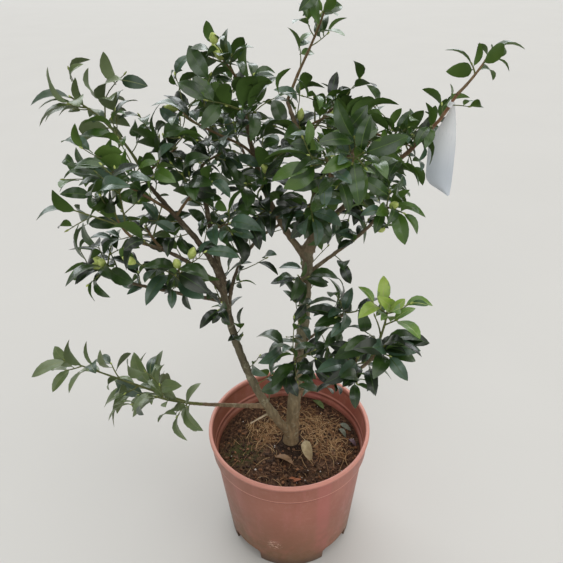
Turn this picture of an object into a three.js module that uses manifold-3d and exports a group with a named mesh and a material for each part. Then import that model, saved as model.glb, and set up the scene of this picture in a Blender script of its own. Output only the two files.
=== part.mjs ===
// A camellia shrub standing in its plastic nursery pot. All sizes are millimetres.
// The origin is the centre of the pot's flat underside, +Z is up and -Y is the side seen.
import * as THREE from "three";
import Module from "manifold-3d";
import { mergeVertices } from "three/addons/utils/BufferGeometryUtils.js";

const wasm = await Module();
wasm.setup();

// Pot
const POT_HEIGHT = 245;
const RIM_RADIUS = 140;
const BASE_RADIUS = 115;
const WALL = 2.6;
const LIP_HEIGHT = 8;
const BAND_FOOT = 203;
const BAND_PROUD = 2.4;
const STEP_HEIGHT = 194.5;
const STEP_DEPTH = 3.4;
const FLOOR_THICK = 3.2;
const WALL_FLARE = 22;
const FOOT_INNER_RADIUS = 88;
const FOOT_TOP = 66;
const FOOT_SLOPE = 12;
const BASE_CHAMFER = 2;
const RIM_CHAMFER = 1.6;
const BAND_BEAD = 0.8;
const POT_SIDES = 36;
const DRAIN_CUTS = 4;
const DRAIN_CUT_WIDTH = 64;
const DRAIN_CUT_HEIGHT = 26;
const DRAIN_CUT_DEPTH = 13;
const CUT_TOP_CLEAR = 0.6;
const CUT_OVERRUN = 8;

// Soil
const CLEAR = 0.35;
const SOIL_TOP = 195.6;
const SOIL_EDGE = 189;
const SOIL_SHRINK = 1;
const SOIL_ROUND = 6;
const PLATEAU_RADIUS = 42;

// Limbs
const TRUNK_FOOT = [3, 0, 196];
const LIMB_STEPS = 10;
const STEPS_PER_RING = 2;
const FLARE = 7;
const FLARE_HEIGHT = 11;
const FLARE_RINGS = [0.014, 0.04];
const STOUT = 12;
const STOUT_SIDES = 10;
const LIMB_SIDES = 6;

// Foliage
const GOLDEN_ANGLE = 137.5;
const STEM_STEPS = 4;
const STEM_RADIUS = 2.4;
const STEM_TIP_RADIUS = 1.7;
const TWIG_RADIUS = 0.95;
const TWIG_TIP_RADIUS = 0.85;
const LEAF_ASPECT = 0.48;
const LEAF_THICKNESS = 0.024;
const LEAF_ARCH = 0.05;
const LEAF_WIDEST = 0.45;
const BUD_LENGTH = 13;
const BUD_WIDTH = 7;
const BUD_TURN = 150;
const FIRST_BUD_LEAN = 0.15;
const NEXT_BUD_LEAN = 0.9;
const SPACE_MARGIN = 0.5;
const FUSED_TOLERANCE = 0.05;
const WELD_GAP = 0.001;
const TWIG_CLEARANCE = 1.8;
const LEAF_CLEARANCE = 0.8;
const OUTWARD_TILT = 0.004;
const LEAF_FLATTEN = 0.75;
const TWIG_LIFT = 0.25;
const TWIGS_FROM = 0.35;
const TWIGS_OVER = 0.6;
const TWIG_SPREAD = 48;
const TWIG_SPREAD_MORE = 16;
const STEM_KEY = 99;
const STEM_BARE = 0.45;
const TWIG_BARE = 0.3;
const HUB_AT = 0.75;
const LAST_LEAF_AT = 0.985;
const LEAF_OPEN = 66;
const LEAF_CLOSING = 26;
const TRIES = 4;
const RETRY_TURN = 53;
const HANGING_LEAF_ON = "low_left_tip";
const HANGING_AT = 0.08;
const HANGING_WAY = [-0.12, -0.1, -1];
const HANGING_FACE = [-0.25, -1, 0.1];

// Label. Each row across its strip has a drop, a place back from the ring, and the places of
// its left and right edges.
const TAG_AT = 0.955;
const TAG_RING_RADIUS = 3.3;
const TAG_THICK = 0.9;
const TAG_NECK = 8;
const TAG_TURN = -112;
const TAG_ROWS = [
  [-1, 3, -3.5, 4.5],
  [12, 11, -2, 6.6],
  [26, 18, -7.5, 8.4],
  [44, 24, -17, 10.4],
  [64, 27, -25.5, 12.2],
  [112, 28, -24, 14],
  [122, 28, -20.5, 14.2],
  [138, 28, 9.5, 13.5],
];

// Each limb leaves the limb it grows on at a part of that limb's length. It heads off toward
// a compass angle at a rise above level, both in degrees, and its heading then turns by swing
// and its rise by curl along its length. Thick and thin are its diameters.
const LIMB_COLUMNS = ["name", "on", "at", "length", "toward", "rise", "swing", "curl", "thick", "thin"];
const LIMBS = [
  ["trunk", null, 0, 388, 68, 81, -109, 7, 24, 16],
  ["second_stem", "trunk", 0.04, 375, -154, 60, -5, 27, 16, 10],
  ["leader_left", "trunk", 0.96, 262, 174, 50, -56, 34, 10, 5],
  ["leader_mid", "trunk", 1, 225, -4, 69, -68, 74, 14, 5],
  ["right_bough", "trunk", 0.99, 328, 63, 25, -130, 35, 10, 4],
  ["right_low_bough", "trunk", 0.89, 172, 11, 39, -88, 15, 6, 4],
  ["front_bough", "leader_mid", 0.25, 162, -113, 45, 101, 10, 6.5, 4],
  ["upper_right_bough", "leader_mid", 0.7, 60, 34, 54, -7, -21, 4.5, 3.5],
  ["left_leader", "second_stem", 1, 160, 125, 75, -30, -25, 9, 5],
  ["left_upper_bough", "second_stem", 0.98, 192, -150, 79, -86, -54, 9, 5],
  ["left_mid_bough", "second_stem", 0.94, 153, -148, 61, 8, -28, 7, 4],
  ["left_reach_bough", "second_stem", 0.9, 137, 180, 12, 29, 21, 6, 4],
  ["left_inner_bough", "second_stem", 0.83, 166, 81, 70, -72, -49, 6, 4],
  ["low_left_bough", "second_stem", 0.27, 131, -170, 10, -2, 5, 6, 4],
  ["low_right_bough", "trunk", 0.28, 263, -43, 38, -25, 19, 7, 4.5],
  ["trunk_right_bough", "trunk", 0.54, 152, -19, 51, -68, -6, 4.5, 3.5],
  ["back_left_bough", "leader_left", 0.2, 175, 118, 30, 10, 15, 7, 4],
  ["back_right_bough", "leader_mid", 0.12, 185, 52, 32, -8, 12, 7, 4],
].map((row) => named(LIMB_COLUMNS, row));

// Broken stubs fused to the second stem, in the same columns as the limbs.
const STUBS = [
  ["upright_stub", "second_stem", 0.27, 32, 60, 62, 0, 0, 4, 2.4],
  ["low_stub", "second_stem", 0.22, 42, -150, -8, 0, 0, 4, 2.6],
].map((row) => named(LIMB_COLUMNS, row));

// Each mass grows from one stem, given like a limb. Along it stand side twigs of a mean twig
// length with a number of leaves each, of a mean leaf length. Reach is the radius that weighs
// the mass against its neighbours for space, and droop bends its leaves down, in degrees.
const MASS_COLUMNS = [
  "name", "on", "at", "length", "toward", "rise", "swing", "curl",
  "twigs", "twig", "leaves", "leaf", "reach", "droop", "buds", "seed", "tint",
];
const MASSES = [
  ["top_left_spray", "leader_left", 1, 47, -149, 62, -10, -11, 3, 27, 3, 45, 62, 0, 2, 133, "dark_leaf"],
  ["top_left_whorl", "leader_left", 0.8, 66, -92, 47, -6, -21, 4, 29, 3, 49, 60, 0, 0, 847, "dark_leaf"],
  ["upper_left_spray", "leader_left", 0.66, 141, -103, 40, -140, -23, 4, 42, 3, 47, 60, 0, 2, 3, "dark_leaf"],
  ["left_upper_mass", "left_upper_bough", 1, 62, -9, 41, -2, -5, 5, 40, 3, 53, 70, 0, 0, 536, "dark_leaf"],
  ["left_tall_shoot", "left_upper_bough", 0.92, 147, 139, 62, 37, -30, 3, 28, 3, 45, 55, 0, 0, 5, "olive_leaf"],
  ["far_left_spray", "left_upper_bough", 0.66, 125, -120, 47, -139, -24, 3, 42, 3, 49, 55, 0, 0, 952, "mid_leaf"],
  ["left_outer_mass", "left_mid_bough", 1, 65, 160, 7, -7, 86, 4, 72, 3, 55, 62, 0, 0, 632, "dark_leaf"],
  ["left_mid_mass", "left_mid_bough", 0.82, 42, 134, 16, -8, 14, 4, 47, 3, 51, 50, 0, 0, 13, "dark_leaf"],
  ["left_bud_spray", "left_reach_bough", 1, 41, -174, 34, -2, 17, 4, 35, 3, 51, 55, 16, 3, 270, "dark_leaf"],
  ["left_reach_tuft", "left_reach_bough", 0.45, 92, -78, 50, -2, 7, 4, 33, 3, 53, 55, 8, 1, 74, "dark_leaf"],
  ["second_stem_tuft", "second_stem", 0.8, 37, -150, 89, 4, -29, 3, 30, 3, 45, 42, 20, 0, 948, "dark_leaf"],
  ["low_left_spray", "low_left_bough", 1, 204, 181, 28, 0, 1, 4, 30, 3, 42, 78, 0, 0, 166, "olive_leaf"],
  ["low_left_tip", "low_left_bough", 0.92, 119, -195, -4, -4, 8, 3, 32, 3, 57, 62, 0, 0, 209, "olive_leaf"],
  ["low_left_tuft", "low_left_bough", 0.84, 95, -113, 46, -72, -25, 3, 32, 3, 45, 46, 0, 0, 141, "olive_leaf"],
  ["left_knot", "left_leader", 0.45, 59, -55, 26, 0, 4, 4, 25, 3, 47, 56, 0, 0, 766, "dark_leaf"],
  ["left_leader_mass", "left_leader", 1, 34, -2, 45, -3, -32, 4, 27, 3, 53, 76, 0, 0, 719, "dark_leaf"],
  ["centre_left_mass", "leader_left", 0.45, 63, -83, 53, -10, -12, 5, 46, 3, 53, 62, 0, 1, 974, "dark_leaf"],
  ["centre_low_left", "left_inner_bough", 1, 42, -134, 64, -39, -43, 4, 36, 3, 49, 58, 0, 0, 535, "dark_leaf"],
  ["centre_mass", "leader_mid", 0.35, 77, -102, 16, 0, 4, 4, 30, 3, 53, 62, 0, 0, 662, "dark_leaf"],
  ["centre_top_mass", "leader_mid", 0.77, 53, -37, 48, 15, -28, 4, 38, 3, 57, 62, 0, 2, 185, "mid_leaf"],
  ["top_shoot", "leader_mid", 1, 150, 25, 67, -102, -7, 1, 20, 2, 42, 62, 0, 0, 657, "mid_leaf"],
  ["upper_right_mass", "upper_right_bough", 1, 31, -70, 28, 11, -23, 4, 22, 3, 47, 58, 0, 0, 193, "dark_leaf"],
  ["blue_right_mass", "right_bough", 0.6, 62, 4, 104, 120, 27, 4, 28, 3, 47, 62, 0, 0, 873, "mid_leaf"],
  ["right_mid_mass", "right_bough", 0.6, 58, -121, 2, -6, -6, 4, 41, 3, 47, 58, 0, 0, 920, "mid_leaf"],
  ["right_front_mass", "front_bough", 1, 44, -102, -1, 0, -6, 4, 25, 3, 55, 60, 0, 0, 609, "mid_leaf"],
  ["front_mid_mass", "front_bough", 0.67, 54, -104, 46, 2, -1, 4, 37, 3, 57, 56, 0, 0, 215, "mid_leaf"],
  ["right_low_mass", "right_low_bough", 1, 27, -62, 44, -2, -15, 3, 21, 3, 47, 58, 0, 1, 855, "mid_leaf"],
  ["trunk_node_tuft", "trunk", 0.85, 46, -113, 33, 0, 19, 2, 16, 3, 49, 42, 12, 0, 641, "dark_leaf"],
  ["trunk_right_tuft", "trunk_right_bough", 1, 16, -88, 56, 12, -24, 4, 29, 3, 49, 56, 0, 0, 787, "dark_leaf"],
  ["low_right_mass", "low_right_bough", 1, 24, -36, 64, -1, -5, 4, 22, 3, 61, 62, 0, 0, 787, "dark_leaf"],
  ["low_right_inner", "low_right_bough", 0.66, 52, -76, 67, -2, -4, 4, 23, 3, 59, 58, 10, 0, 238, "dark_leaf"],
  ["young_shoot", "low_right_bough", 0.94, 90, 23, 67, -45, 23, 3, 24, 3, 49, 52, 0, 0, 33, "young_leaf"],
  ["trunk_front_mass", "trunk", 0.51, 101, -97, 27, 0, 1, 4, 41, 3, 57, 58, 10, 0, 388, "dark_leaf"],
  ["right_shoot", "right_bough", 1, 67, 19, 39, 6, 18, 2, 15, 3, 42, 55, 0, 0, 916, "mid_leaf"],
  ["back_left_mass", "back_left_bough", 1, 64, 108, 17, 0, 0, 4, 55, 3, 51, 75, 0, 0, 368, "dark_leaf"],
  ["back_right_mass", "back_right_bough", 1, 57, -16, -16, 0, 0, 4, 45, 3, 51, 75, 0, 0, 680, "dark_leaf"],
  ["back_mid_mass", "leader_mid", 0.6, 60, 122, 37, 0, 0, 3, 31, 3, 51, 75, 0, 0, 185, "dark_leaf"],
  ["left_inner_mass", "left_upper_bough", 0.62, 66, 2, 55, 0, -10, 4, 34, 3, 47, 60, 0, 0, 291, "dark_leaf"],
  ["right_inner_mass", "right_bough", 0.32, 41, -104, 36, 0, -10, 4, 47, 3, 53, 62, 0, 0, 171, "dark_leaf"],
].map((row) => named(MASS_COLUMNS, row));

const COLOURS = {
  terracotta: { color: 0xb5705c, roughness: 0.55, metalness: 0 },
  soil: { color: 0x4b3020, roughness: 1, metalness: 0 },
  bark: { color: 0x6f6253, roughness: 0.9, metalness: 0 },
  young_bark: { color: 0x5d4436, roughness: 0.85, metalness: 0 },
  dark_leaf: { color: 0x24402c, roughness: 0.35, metalness: 0 },
  mid_leaf: { color: 0x355a30, roughness: 0.38, metalness: 0 },
  olive_leaf: { color: 0x5d6f4a, roughness: 0.45, metalness: 0 },
  young_leaf: { color: 0x7f9a3c, roughness: 0.4, metalness: 0 },
  label: { color: 0xe6e8ec, roughness: 0.4, metalness: 0 },
};

function named(columns, row) {
  return Object.fromEntries(columns.map((column, k) => [column, row[k]]));
}

const vec = (x, y, z) => new THREE.Vector3(x, y, z);
const radians = THREE.MathUtils.degToRad;
const moved = (point, way, distance) => point.clone().addScaledVector(way, distance);

// The same keys always give the same number from 0 to 1.
function chance(...keys) {
  let hash = 2166136261;
  for (const key of keys) {
    hash = Math.imul(hash ^ key, 16777619);
    hash ^= hash >>> 13;
    hash = Math.imul(hash, 1540483477);
    hash ^= hash >>> 15;
  }
  return (hash >>> 0) / 4294967296;
}

function heading(toward, rise) {
  const level = Math.cos(radians(rise));
  return vec(level * Math.cos(radians(toward)), level * Math.sin(radians(toward)), Math.sin(radians(rise)));
}

function walk(start, row, steps) {
  const points = [start.clone()];
  for (let k = 0; k < steps; k++) {
    const part = (k + 0.5) / steps;
    const step = heading(row.toward + row.swing * part, row.rise + row.curl * part);
    points.push(points[k].clone().addScaledVector(step, row.length / steps));
  }
  return points;
}

function along(points, part) {
  const place = Math.min(Math.max(part, 0), 1) * (points.length - 1);
  const k = Math.min(Math.floor(place), points.length - 2);
  const axis = points[k + 1].clone().sub(points[k]);
  const point = points[k].clone().addScaledVector(axis, place - k);
  return { point, axis: axis.normalize() };
}

function sideOf(axis) {
  const side = axis.clone().cross(vec(0, 0, 1));
  return side.length() < 1e-6 ? vec(1, 0, 0) : side.normalize();
}

function turned(axis, angle) {
  const side = sideOf(axis);
  const up = side.clone().cross(axis);
  return side.multiplyScalar(Math.cos(radians(angle))).addScaledVector(up, Math.sin(radians(angle)));
}

function solidOf(points, triangles) {
  const mesh = new wasm.Mesh({
    numProp: 3,
    vertProperties: new Float32Array(points.flatMap((p) => [p.x, p.y, p.z])),
    triVerts: new Uint32Array(triangles.flat()),
  });
  return new wasm.Manifold(mesh);
}

// The largest whole body of a solid, without loose scraps or sealed hollows.
function mainBody(solid) {
  return solid.decompose().reduce((best, part) => (part.volume() > best.volume() ? part : best));
}

// A solid's faces as geometry, with corners closer than the weld gap made one.
function weldedGeometry(solid) {
  const mesh = solid.getMesh();
  const geometry = new THREE.BufferGeometry();
  geometry.setAttribute("position", new THREE.BufferAttribute(mesh.vertProperties, 3));
  geometry.setIndex(new THREE.BufferAttribute(mesh.triVerts, 1));
  return mergeVertices(geometry, WELD_GAP);
}

// Welding can pinch off a scrap, so the main body is picked again after it.
function nodeOf(name, solid, colour) {
  const welded = weldedGeometry(mainBody(solid));
  const whole = new wasm.Mesh({
    numProp: 3,
    vertProperties: welded.attributes.position.array,
    triVerts: new Uint32Array(welded.index.array),
  });
  const geometry = weldedGeometry(mainBody(new wasm.Manifold(whole)));
  const node = new THREE.Mesh(geometry, new THREE.MeshStandardMaterial(COLOURS[colour]));
  node.name = name;
  return node;
}

// A closed body turned round the Z axis from a profile that starts and ends on the axis.
function turnedSolid(profile, sides) {
  const points = [];
  const rings = profile.map(([radius, height]) => {
    if (radius === 0) {
      points.push(vec(0, 0, height));
      return Array(sides).fill(points.length - 1);
    }
    return Array.from({ length: sides }, (_, k) => {
      const angle = (2 * Math.PI * k) / sides;
      points.push(vec(radius * Math.cos(angle), radius * Math.sin(angle), height));
      return points.length - 1;
    });
  });
  const triangles = [];
  for (let r = 0; r + 1 < rings.length; r++) {
    for (let k = 0; k < sides; k++) {
      const next = (k + 1) % sides;
      const [a, b, c, d] = [rings[r][k], rings[r][next], rings[r + 1][next], rings[r + 1][k]];
      if (a !== b) triangles.push([a, b, c]);
      if (c !== d) triangles.push([a, c, d]);
    }
  }
  return solidOf(points, triangles);
}

// A closed body through rings of equal count, each seen turning with the route's heading.
function stitched(rings) {
  const count = rings[0].length;
  const last = rings.length - 1;
  const triangles = [];
  for (let k = 0; k < last; k++) {
    for (let s = 0; s < count; s++) {
      const [a, b] = [k * count + s, k * count + ((s + 1) % count)];
      triangles.push([a, b, b + count], [a, b + count, a + count]);
    }
  }
  for (let s = 1; s + 1 < count; s++) {
    triangles.push([0, s + 1, s], [last * count, last * count + s, last * count + s + 1]);
  }
  return solidOf(rings.flat(), triangles);
}

// A closed tapering tube through points, its rings carried on without twist.
function tube(points, radii, sides, levelFoot = false) {
  const last = points.length - 1;
  let side = null;
  const rings = points.map((point, k) => {
    const ahead = points[Math.min(k + 1, last)].clone().sub(points[Math.max(k - 1, 0)]).normalize();
    const axis = levelFoot && k === 0 ? vec(0, 0, 1) : ahead;
    side = side ? squaredTo(side.clone(), axis) : sideOf(axis);
    const up = side.clone().cross(axis);
    return Array.from({ length: sides }, (_, s) => {
      const angle = (2 * Math.PI * s) / sides;
      const across = moved(point, side, radii[k] * Math.cos(angle));
      return across.addScaledVector(up, -radii[k] * Math.sin(angle));
    });
  });
  return stitched(rings);
}

const squaredTo = (direction, axis) => direction.addScaledVector(axis, -direction.dot(axis)).normalize();

// The radius of the pot's plain outer wall at a height.
const wallAt = (height) => BASE_RADIUS + (WALL_FLARE * height) / POT_HEIGHT;

// The inside of the pot below its step, drawn in by a clearance, from the step to the axis.
function cavity(clear) {
  return [
    [wallAt(FOOT_TOP) - WALL - clear, FOOT_TOP],
    [FOOT_INNER_RADIUS + FOOT_SLOPE - clear, FOOT_TOP / 2],
    [FOOT_INNER_RADIUS - clear, FLOOR_THICK + clear],
    [0, FLOOR_THICK + clear],
  ];
}

function makePot() {
  const bandAt = (height) => wallAt(height) + BAND_PROUD;
  const lipFoot = POT_HEIGHT - LIP_HEIGHT;
  const profile = [
    [0, 0],
    [BASE_RADIUS - BASE_CHAMFER, 0],
    [wallAt(BASE_CHAMFER), BASE_CHAMFER],
    [wallAt(BAND_FOOT), BAND_FOOT],
    [bandAt(BAND_FOOT) + BAND_BEAD, BAND_FOOT + RIM_CHAMFER],
    [bandAt(lipFoot) - BAND_BEAD, lipFoot - BAND_BEAD],
    [RIM_RADIUS, lipFoot + RIM_CHAMFER],
    [RIM_RADIUS, POT_HEIGHT - RIM_CHAMFER],
    [RIM_RADIUS - RIM_CHAMFER, POT_HEIGHT],
    [RIM_RADIUS - RIM_CHAMFER - WALL, POT_HEIGHT - BAND_BEAD],
    [wallAt(STEP_HEIGHT), STEP_HEIGHT + BASE_CHAMFER],
    [wallAt(STEP_HEIGHT) - STEP_DEPTH, STEP_HEIGHT],
    ...cavity(0),
  ];
  let pot = turnedSolid(profile, POT_SIDES);
  for (let k = 0; k < DRAIN_CUTS; k++) {
    const angle = (2 * Math.PI * (k + 0.5)) / DRAIN_CUTS;
    const inner = BASE_RADIUS - DRAIN_CUT_DEPTH;
    const outer = wallAt(DRAIN_CUT_HEIGHT) + CUT_TOP_CLEAR;
    const corners = [
      [inner, -1],
      [outer + CUT_OVERRUN, -1],
      [outer + CUT_OVERRUN, DRAIN_CUT_HEIGHT],
      [outer, DRAIN_CUT_HEIGHT],
    ];
    pot = pot.subtract(wedge(corners, DRAIN_CUT_WIDTH, angle));
  }
  return nodeOf("pot", pot, "terracotta");
}

// A bar of constant section, its section's corners given as radius and height.
function wedge(corners, width, angle) {
  const out = vec(Math.cos(angle), Math.sin(angle), 0);
  const across = vec(-Math.sin(angle), Math.cos(angle), 0);
  const points = [-width / 2, width / 2].flatMap((shift) =>
    corners.map(([radius, height]) => moved(vec(0, 0, height), out, radius).addScaledVector(across, shift)));
  const n = corners.length;
  const triangles = [];
  for (let k = 0; k < n; k++) {
    const next = (k + 1) % n;
    triangles.push([k, n + next, next], [k, n + k, n + next]);
  }
  for (let k = 1; k + 1 < n; k++) {
    triangles.push([0, k, k + 1], [n, n + k + 1, n + k]);
  }
  return solidOf(points, triangles);
}

// Soil fills the pot to just under the step and swells a little to a flat place at the trunk.
function makeSoil() {
  const edge = wallAt(SOIL_EDGE) - STEP_DEPTH - SOIL_SHRINK;
  const profile = [
    ...cavity(CLEAR).reverse(),
    [edge, SOIL_EDGE - SOIL_ROUND / 2],
    [edge - SOIL_ROUND, SOIL_EDGE],
    [PLATEAU_RADIUS, SOIL_TOP],
    [0, SOIL_TOP],
  ];
  return nodeOf("soil", turnedSolid(profile, POT_SIDES), "soil");
}

// Every limb's route and widths, in the order they give way to one another.
function growLimbs() {
  const limbs = new Map();
  for (const row of LIMBS) {
    const start = row.on ? along(limbs.get(row.on).points, row.at).point : vec(...TRUNK_FOOT);
    const points = walk(start, row, LIMB_STEPS);
    const radii = points.map((_, k) => radiusAt(row, k / LIMB_STEPS));
    limbs.set(row.name, { ...row, points, radii });
  }
  return limbs;
}

const radiusAt = (row, part) => (row.thick + (row.thin - row.thick) * part) / 2;

// A limb as a solid, grown by a margin all round. The trunk gets its root flare and level foot.
function limbSolid(limb, margin) {
  const steps = LIMB_STEPS / STEPS_PER_RING;
  const parts = Array.from({ length: steps + 1 }, (_, k) => k / steps);
  if (!limb.on) {
    parts.splice(1, 0, ...FLARE_RINGS);
  }
  const points = parts.map((part) => along(limb.points, part).point);
  const flare = (k) => (limb.on ? 0 : FLARE * Math.exp((TRUNK_FOOT[2] - points[k].z) / FLARE_HEIGHT));
  const radii = parts.map((part, k) => radiusAt(limb, part) + flare(k) + margin);
  if (margin > 0) {
    const ends = [along(limb.points, 0).axis, along(limb.points, 1).axis];
    points[0] = moved(points[0], ends[0], -margin);
    points[points.length - 1] = moved(points[points.length - 1], ends[1], margin);
  }
  return tube(points, radii, limb.thick > STOUT ? STOUT_SIDES : LIMB_SIDES, !limb.on);
}

// A limb's solid, cut clear of the limbs made before it.
function makeLimbs(limbs) {
  const grown = new Map([...limbs].map(([name, limb]) => [name, limbSolid(limb, CLEAR)]));
  const names = [...limbs.keys()];
  const nodes = names.map((name, k) => {
    let solid = limbSolid(limbs.get(name), 0);
    if (name === "second_stem") {
      solid = STUBS.reduce((whole, stub) => whole.add(stubSolid(limbs, stub)), solid);
    }
    for (const earlier of names.slice(0, k)) {
      solid = solid.subtract(grown.get(earlier));
    }
    return nodeOf(name, solid, limbs.get(name).thick > STOUT ? "bark" : "young_bark");
  });
  return { nodes, grown };
}

function stubSolid(limbs, stub) {
  const start = along(limbs.get(stub.on).points, stub.at).point;
  const points = walk(start, stub, 2);
  return tube(points, points.map((_, k) => radiusAt(stub, k / 2)), LIMB_SIDES);
}

// Straight pieces of the limbs with their radii, for keeping twigs and leaves off them.
function barriersOf(points, radii) {
  return points.slice(1).map((to, k) => ({ line: new THREE.Line3(points[k], to), radius: radii[k] }));
}

function gapTo(barriers, point) {
  const nearest = vec(0, 0, 0);
  return barriers.reduce((least, { line, radius }) => {
    line.closestPointToPoint(point, true, nearest);
    return Math.min(least, nearest.distanceTo(point) - radius);
  }, Infinity);
}

// The flat sides of a mass's space: one against each other mass, set where their reach agrees.
function spaceOf(mass, masses) {
  return masses.filter((other) => other !== mass).map((other) => {
    const across = other.hub.clone().sub(mass.hub);
    const distance = across.length();
    const share = (distance ** 2 + mass.reach ** 2 - other.reach ** 2) / (2 * distance);
    const normal = across.divideScalar(distance);
    return { normal, limit: mass.hub.dot(normal) + share - SPACE_MARGIN };
  });
}

function isInside(space, points) {
  return space.every(({ normal, limit }) => points.every((point) => point.dot(normal) <= limit));
}

// One try at a side twig: straight, leaning up, and turned on from the last try.
function twigFrom(mass, i, attempt) {
  const part = TWIGS_FROM + (TWIGS_OVER * (i + 0.5)) / mass.twigs;
  const { point, axis } = along(mass.stem, part);
  const turn = i * GOLDEN_ANGLE + 360 * chance(mass.seed, 1) + attempt * RETRY_TURN;
  const spread = radians(TWIG_SPREAD + TWIG_SPREAD_MORE * chance(mass.seed, i, 2));
  const side = turned(axis, turn);
  const way = axis.multiplyScalar(Math.cos(spread)).addScaledVector(side, Math.sin(spread));
  way.add(vec(0, 0, TWIG_LIFT)).normalize();
  const length = mass.twig * (1.15 - 0.4 * part) * (0.8 + 0.4 * chance(mass.seed, i, 3));
  return [point, moved(point, way, length)];
}

// The stem and the side twigs that keep to the space and clear of the limbs.
function shootsOf(mass, space, barriers) {
  const stem = { key: STEM_KEY, points: mass.stem, from: STEM_RADIUS, to: STEM_TIP_RADIUS };
  const shoots = [{ ...stem, bare: STEM_BARE, leaves: mass.leaves + 1 }];
  for (let i = 0; i < mass.twigs; i++) {
    const [root, tip] = firstThat(
      (attempt) => twigFrom(mass, i, attempt),
      ([from, to]) => {
        const probes = [0.25, 0.5, 0.75, 1].map((part) => from.clone().lerp(to, part));
        return isInside(space, [to]) && probes.every((probe) => gapTo(barriers, probe) > TWIG_CLEARANCE);
      },
    ) ?? [];
    if (root) {
      const twig = { key: i, points: [root, tip], from: TWIG_RADIUS, to: TWIG_TIP_RADIUS };
      shoots.push({ ...twig, bare: TWIG_BARE, leaves: mass.leaves });
    }
  }
  return shoots;
}

// The first of a few tries that passes a test.
function firstThat(make, passes) {
  for (let attempt = 0; attempt < TRIES; attempt++) {
    const made = make(attempt);
    if (passes(made)) {
      return made;
    }
  }
  return null;
}

// A leaf's corners: root, one side, tip, other side and the keel under its middle.
function leafCorners(root, axis, normal, length) {
  const side = axis.clone().cross(normal);
  const middle = moved(root, axis, length * LEAF_WIDEST).addScaledVector(normal, length * LEAF_ARCH);
  return [
    root,
    moved(middle, side, (length * LEAF_ASPECT) / 2),
    moved(root, axis, length),
    moved(middle, side, (-length * LEAF_ASPECT) / 2),
    middle.addScaledVector(normal, -length * LEAF_THICKNESS),
  ];
}

const LEAF_FACES = [[0, 1, 3], [1, 2, 3], [1, 0, 4], [2, 1, 4], [3, 2, 4], [0, 3, 4]];
const leafSolid = (corners) => solidOf(corners, LEAF_FACES);

// One try at a leaf, turned on round its shoot and a little smaller than the last try.
function leafFrom(mass, shoot, j, attempt) {
  const draw = (k) => chance(mass.seed, shoot.key, j, k);
  const share = (j + 1) / shoot.leaves;
  const part = Math.min(shoot.bare + (1 - shoot.bare) * share, LAST_LEAF_AT);
  const { point: root, axis: ahead } = along(shoot.points, part);
  const open = radians(LEAF_OPEN - LEAF_CLOSING * share + 12 * (draw(4) - 0.5));
  const turn = j * GOLDEN_ANGLE + 360 * chance(mass.seed, shoot.key, 5) + attempt * RETRY_TURN;
  const axis = turned(ahead, turn).multiplyScalar(Math.sin(open)).addScaledVector(ahead, Math.cos(open));
  axis.z = LEAF_FLATTEN * axis.z - Math.sin(radians(mass.droop));
  axis.normalize();
  const normal = vec(0.9 * (draw(6) - 0.5), 0.9 * (draw(7) - 0.5), 1).addScaledVector(ahead, -0.25);
  normal.addScaledVector(vec(root.x, root.y, 0), OUTWARD_TILT);
  const length = mass.leaf * (0.72 + 0.45 * draw(8)) * (1 - 0.07 * attempt);
  return { root, axis, length, corners: leafCorners(root, axis, squaredTo(normal, axis), length) };
}

// The leaves that keep to the space, off the limbs, and do not cross a twig or another leaf.
function leavesOf(mass, shoots, space, barriers) {
  const twigs = shoots.flatMap(({ points }) => points.slice(1).map((point, k) => [points[k], point]));
  const leaves = [];
  if (mass.name === HANGING_LEAF_ON) {
    const axis = vec(...HANGING_WAY).normalize();
    const facing = squaredTo(vec(...HANGING_FACE), axis);
    leaves.push(leafCorners(along(mass.stem, HANGING_AT).point, axis, facing, mass.leaf * 1.05));
  }
  const fits = (leaf) =>
    isInside(space, leaf.corners) && leafIsClear(barriers, leaf) && !isCrossed(leaf.corners, twigs, leaves);
  for (const shoot of shoots) {
    for (let j = 0; j < shoot.leaves; j++) {
      const leaf = firstThat((attempt) => leafFrom(mass, shoot, j, attempt), fits);
      if (leaf) {
        leaves.push(leaf.corners);
      }
    }
  }
  return leaves;
}

function leafIsClear(barriers, { root, axis, length, corners }) {
  const width = length * LEAF_ASPECT;
  const at = (part) => moved(root, axis, length * part);
  const probes = [
    [at(0.3), width * 0.3],
    [at(0.5), width * 0.4],
    [at(0.7), width * 0.3],
    ...corners.slice(1, 4).map((corner) => [corner, 1]),
  ];
  return probes.every(([point, radius]) => gapTo(barriers, point) >= radius + LEAF_CLEARANCE);
}

const bladeFaces = ([root, left, tip, right]) => [[root, left, right], [left, tip, right]];
const BLADE_EDGES = [[0, 1], [1, 2], [2, 3], [3, 0], [1, 3]];
const bladeEdges = (blade) => BLADE_EDGES.map(([from, to]) => [blade[from], blade[to]]);

// A leaf's corners with the root moved out of its own twig.
const offTwig = (corners) => [corners[0].clone().lerp(corners[2], 0.1), ...corners.slice(1)];

function isCrossed(corners, twigs, leaves) {
  const blade = offTwig(corners);
  const anyCross = (lines, other) => lines.some((line) => bladeFaces(other).some((face) => crosses(line, face)));
  return anyCross(twigs, blade) || leaves.some((other) =>
    anyCross(bladeEdges(blade), other) || anyCross(bladeEdges(offTwig(other)), blade));
}

function crosses([from, to], face) {
  const way = to.clone().sub(from);
  const reach = way.length();
  const ray = new THREE.Ray(from, way.divideScalar(reach));
  const hit = ray.intersectTriangle(face[0], face[1], face[2], false, vec(0, 0, 0));
  return hit !== null && hit.distanceTo(from) <= reach;
}

function budSolid(corners) {
  const triangles = [0, 1, 2, 3].flatMap((k) => [[k, (k + 1) % 4, 4], [(k + 1) % 4, k, 5]]);
  return solidOf(corners, triangles);
}

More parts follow.
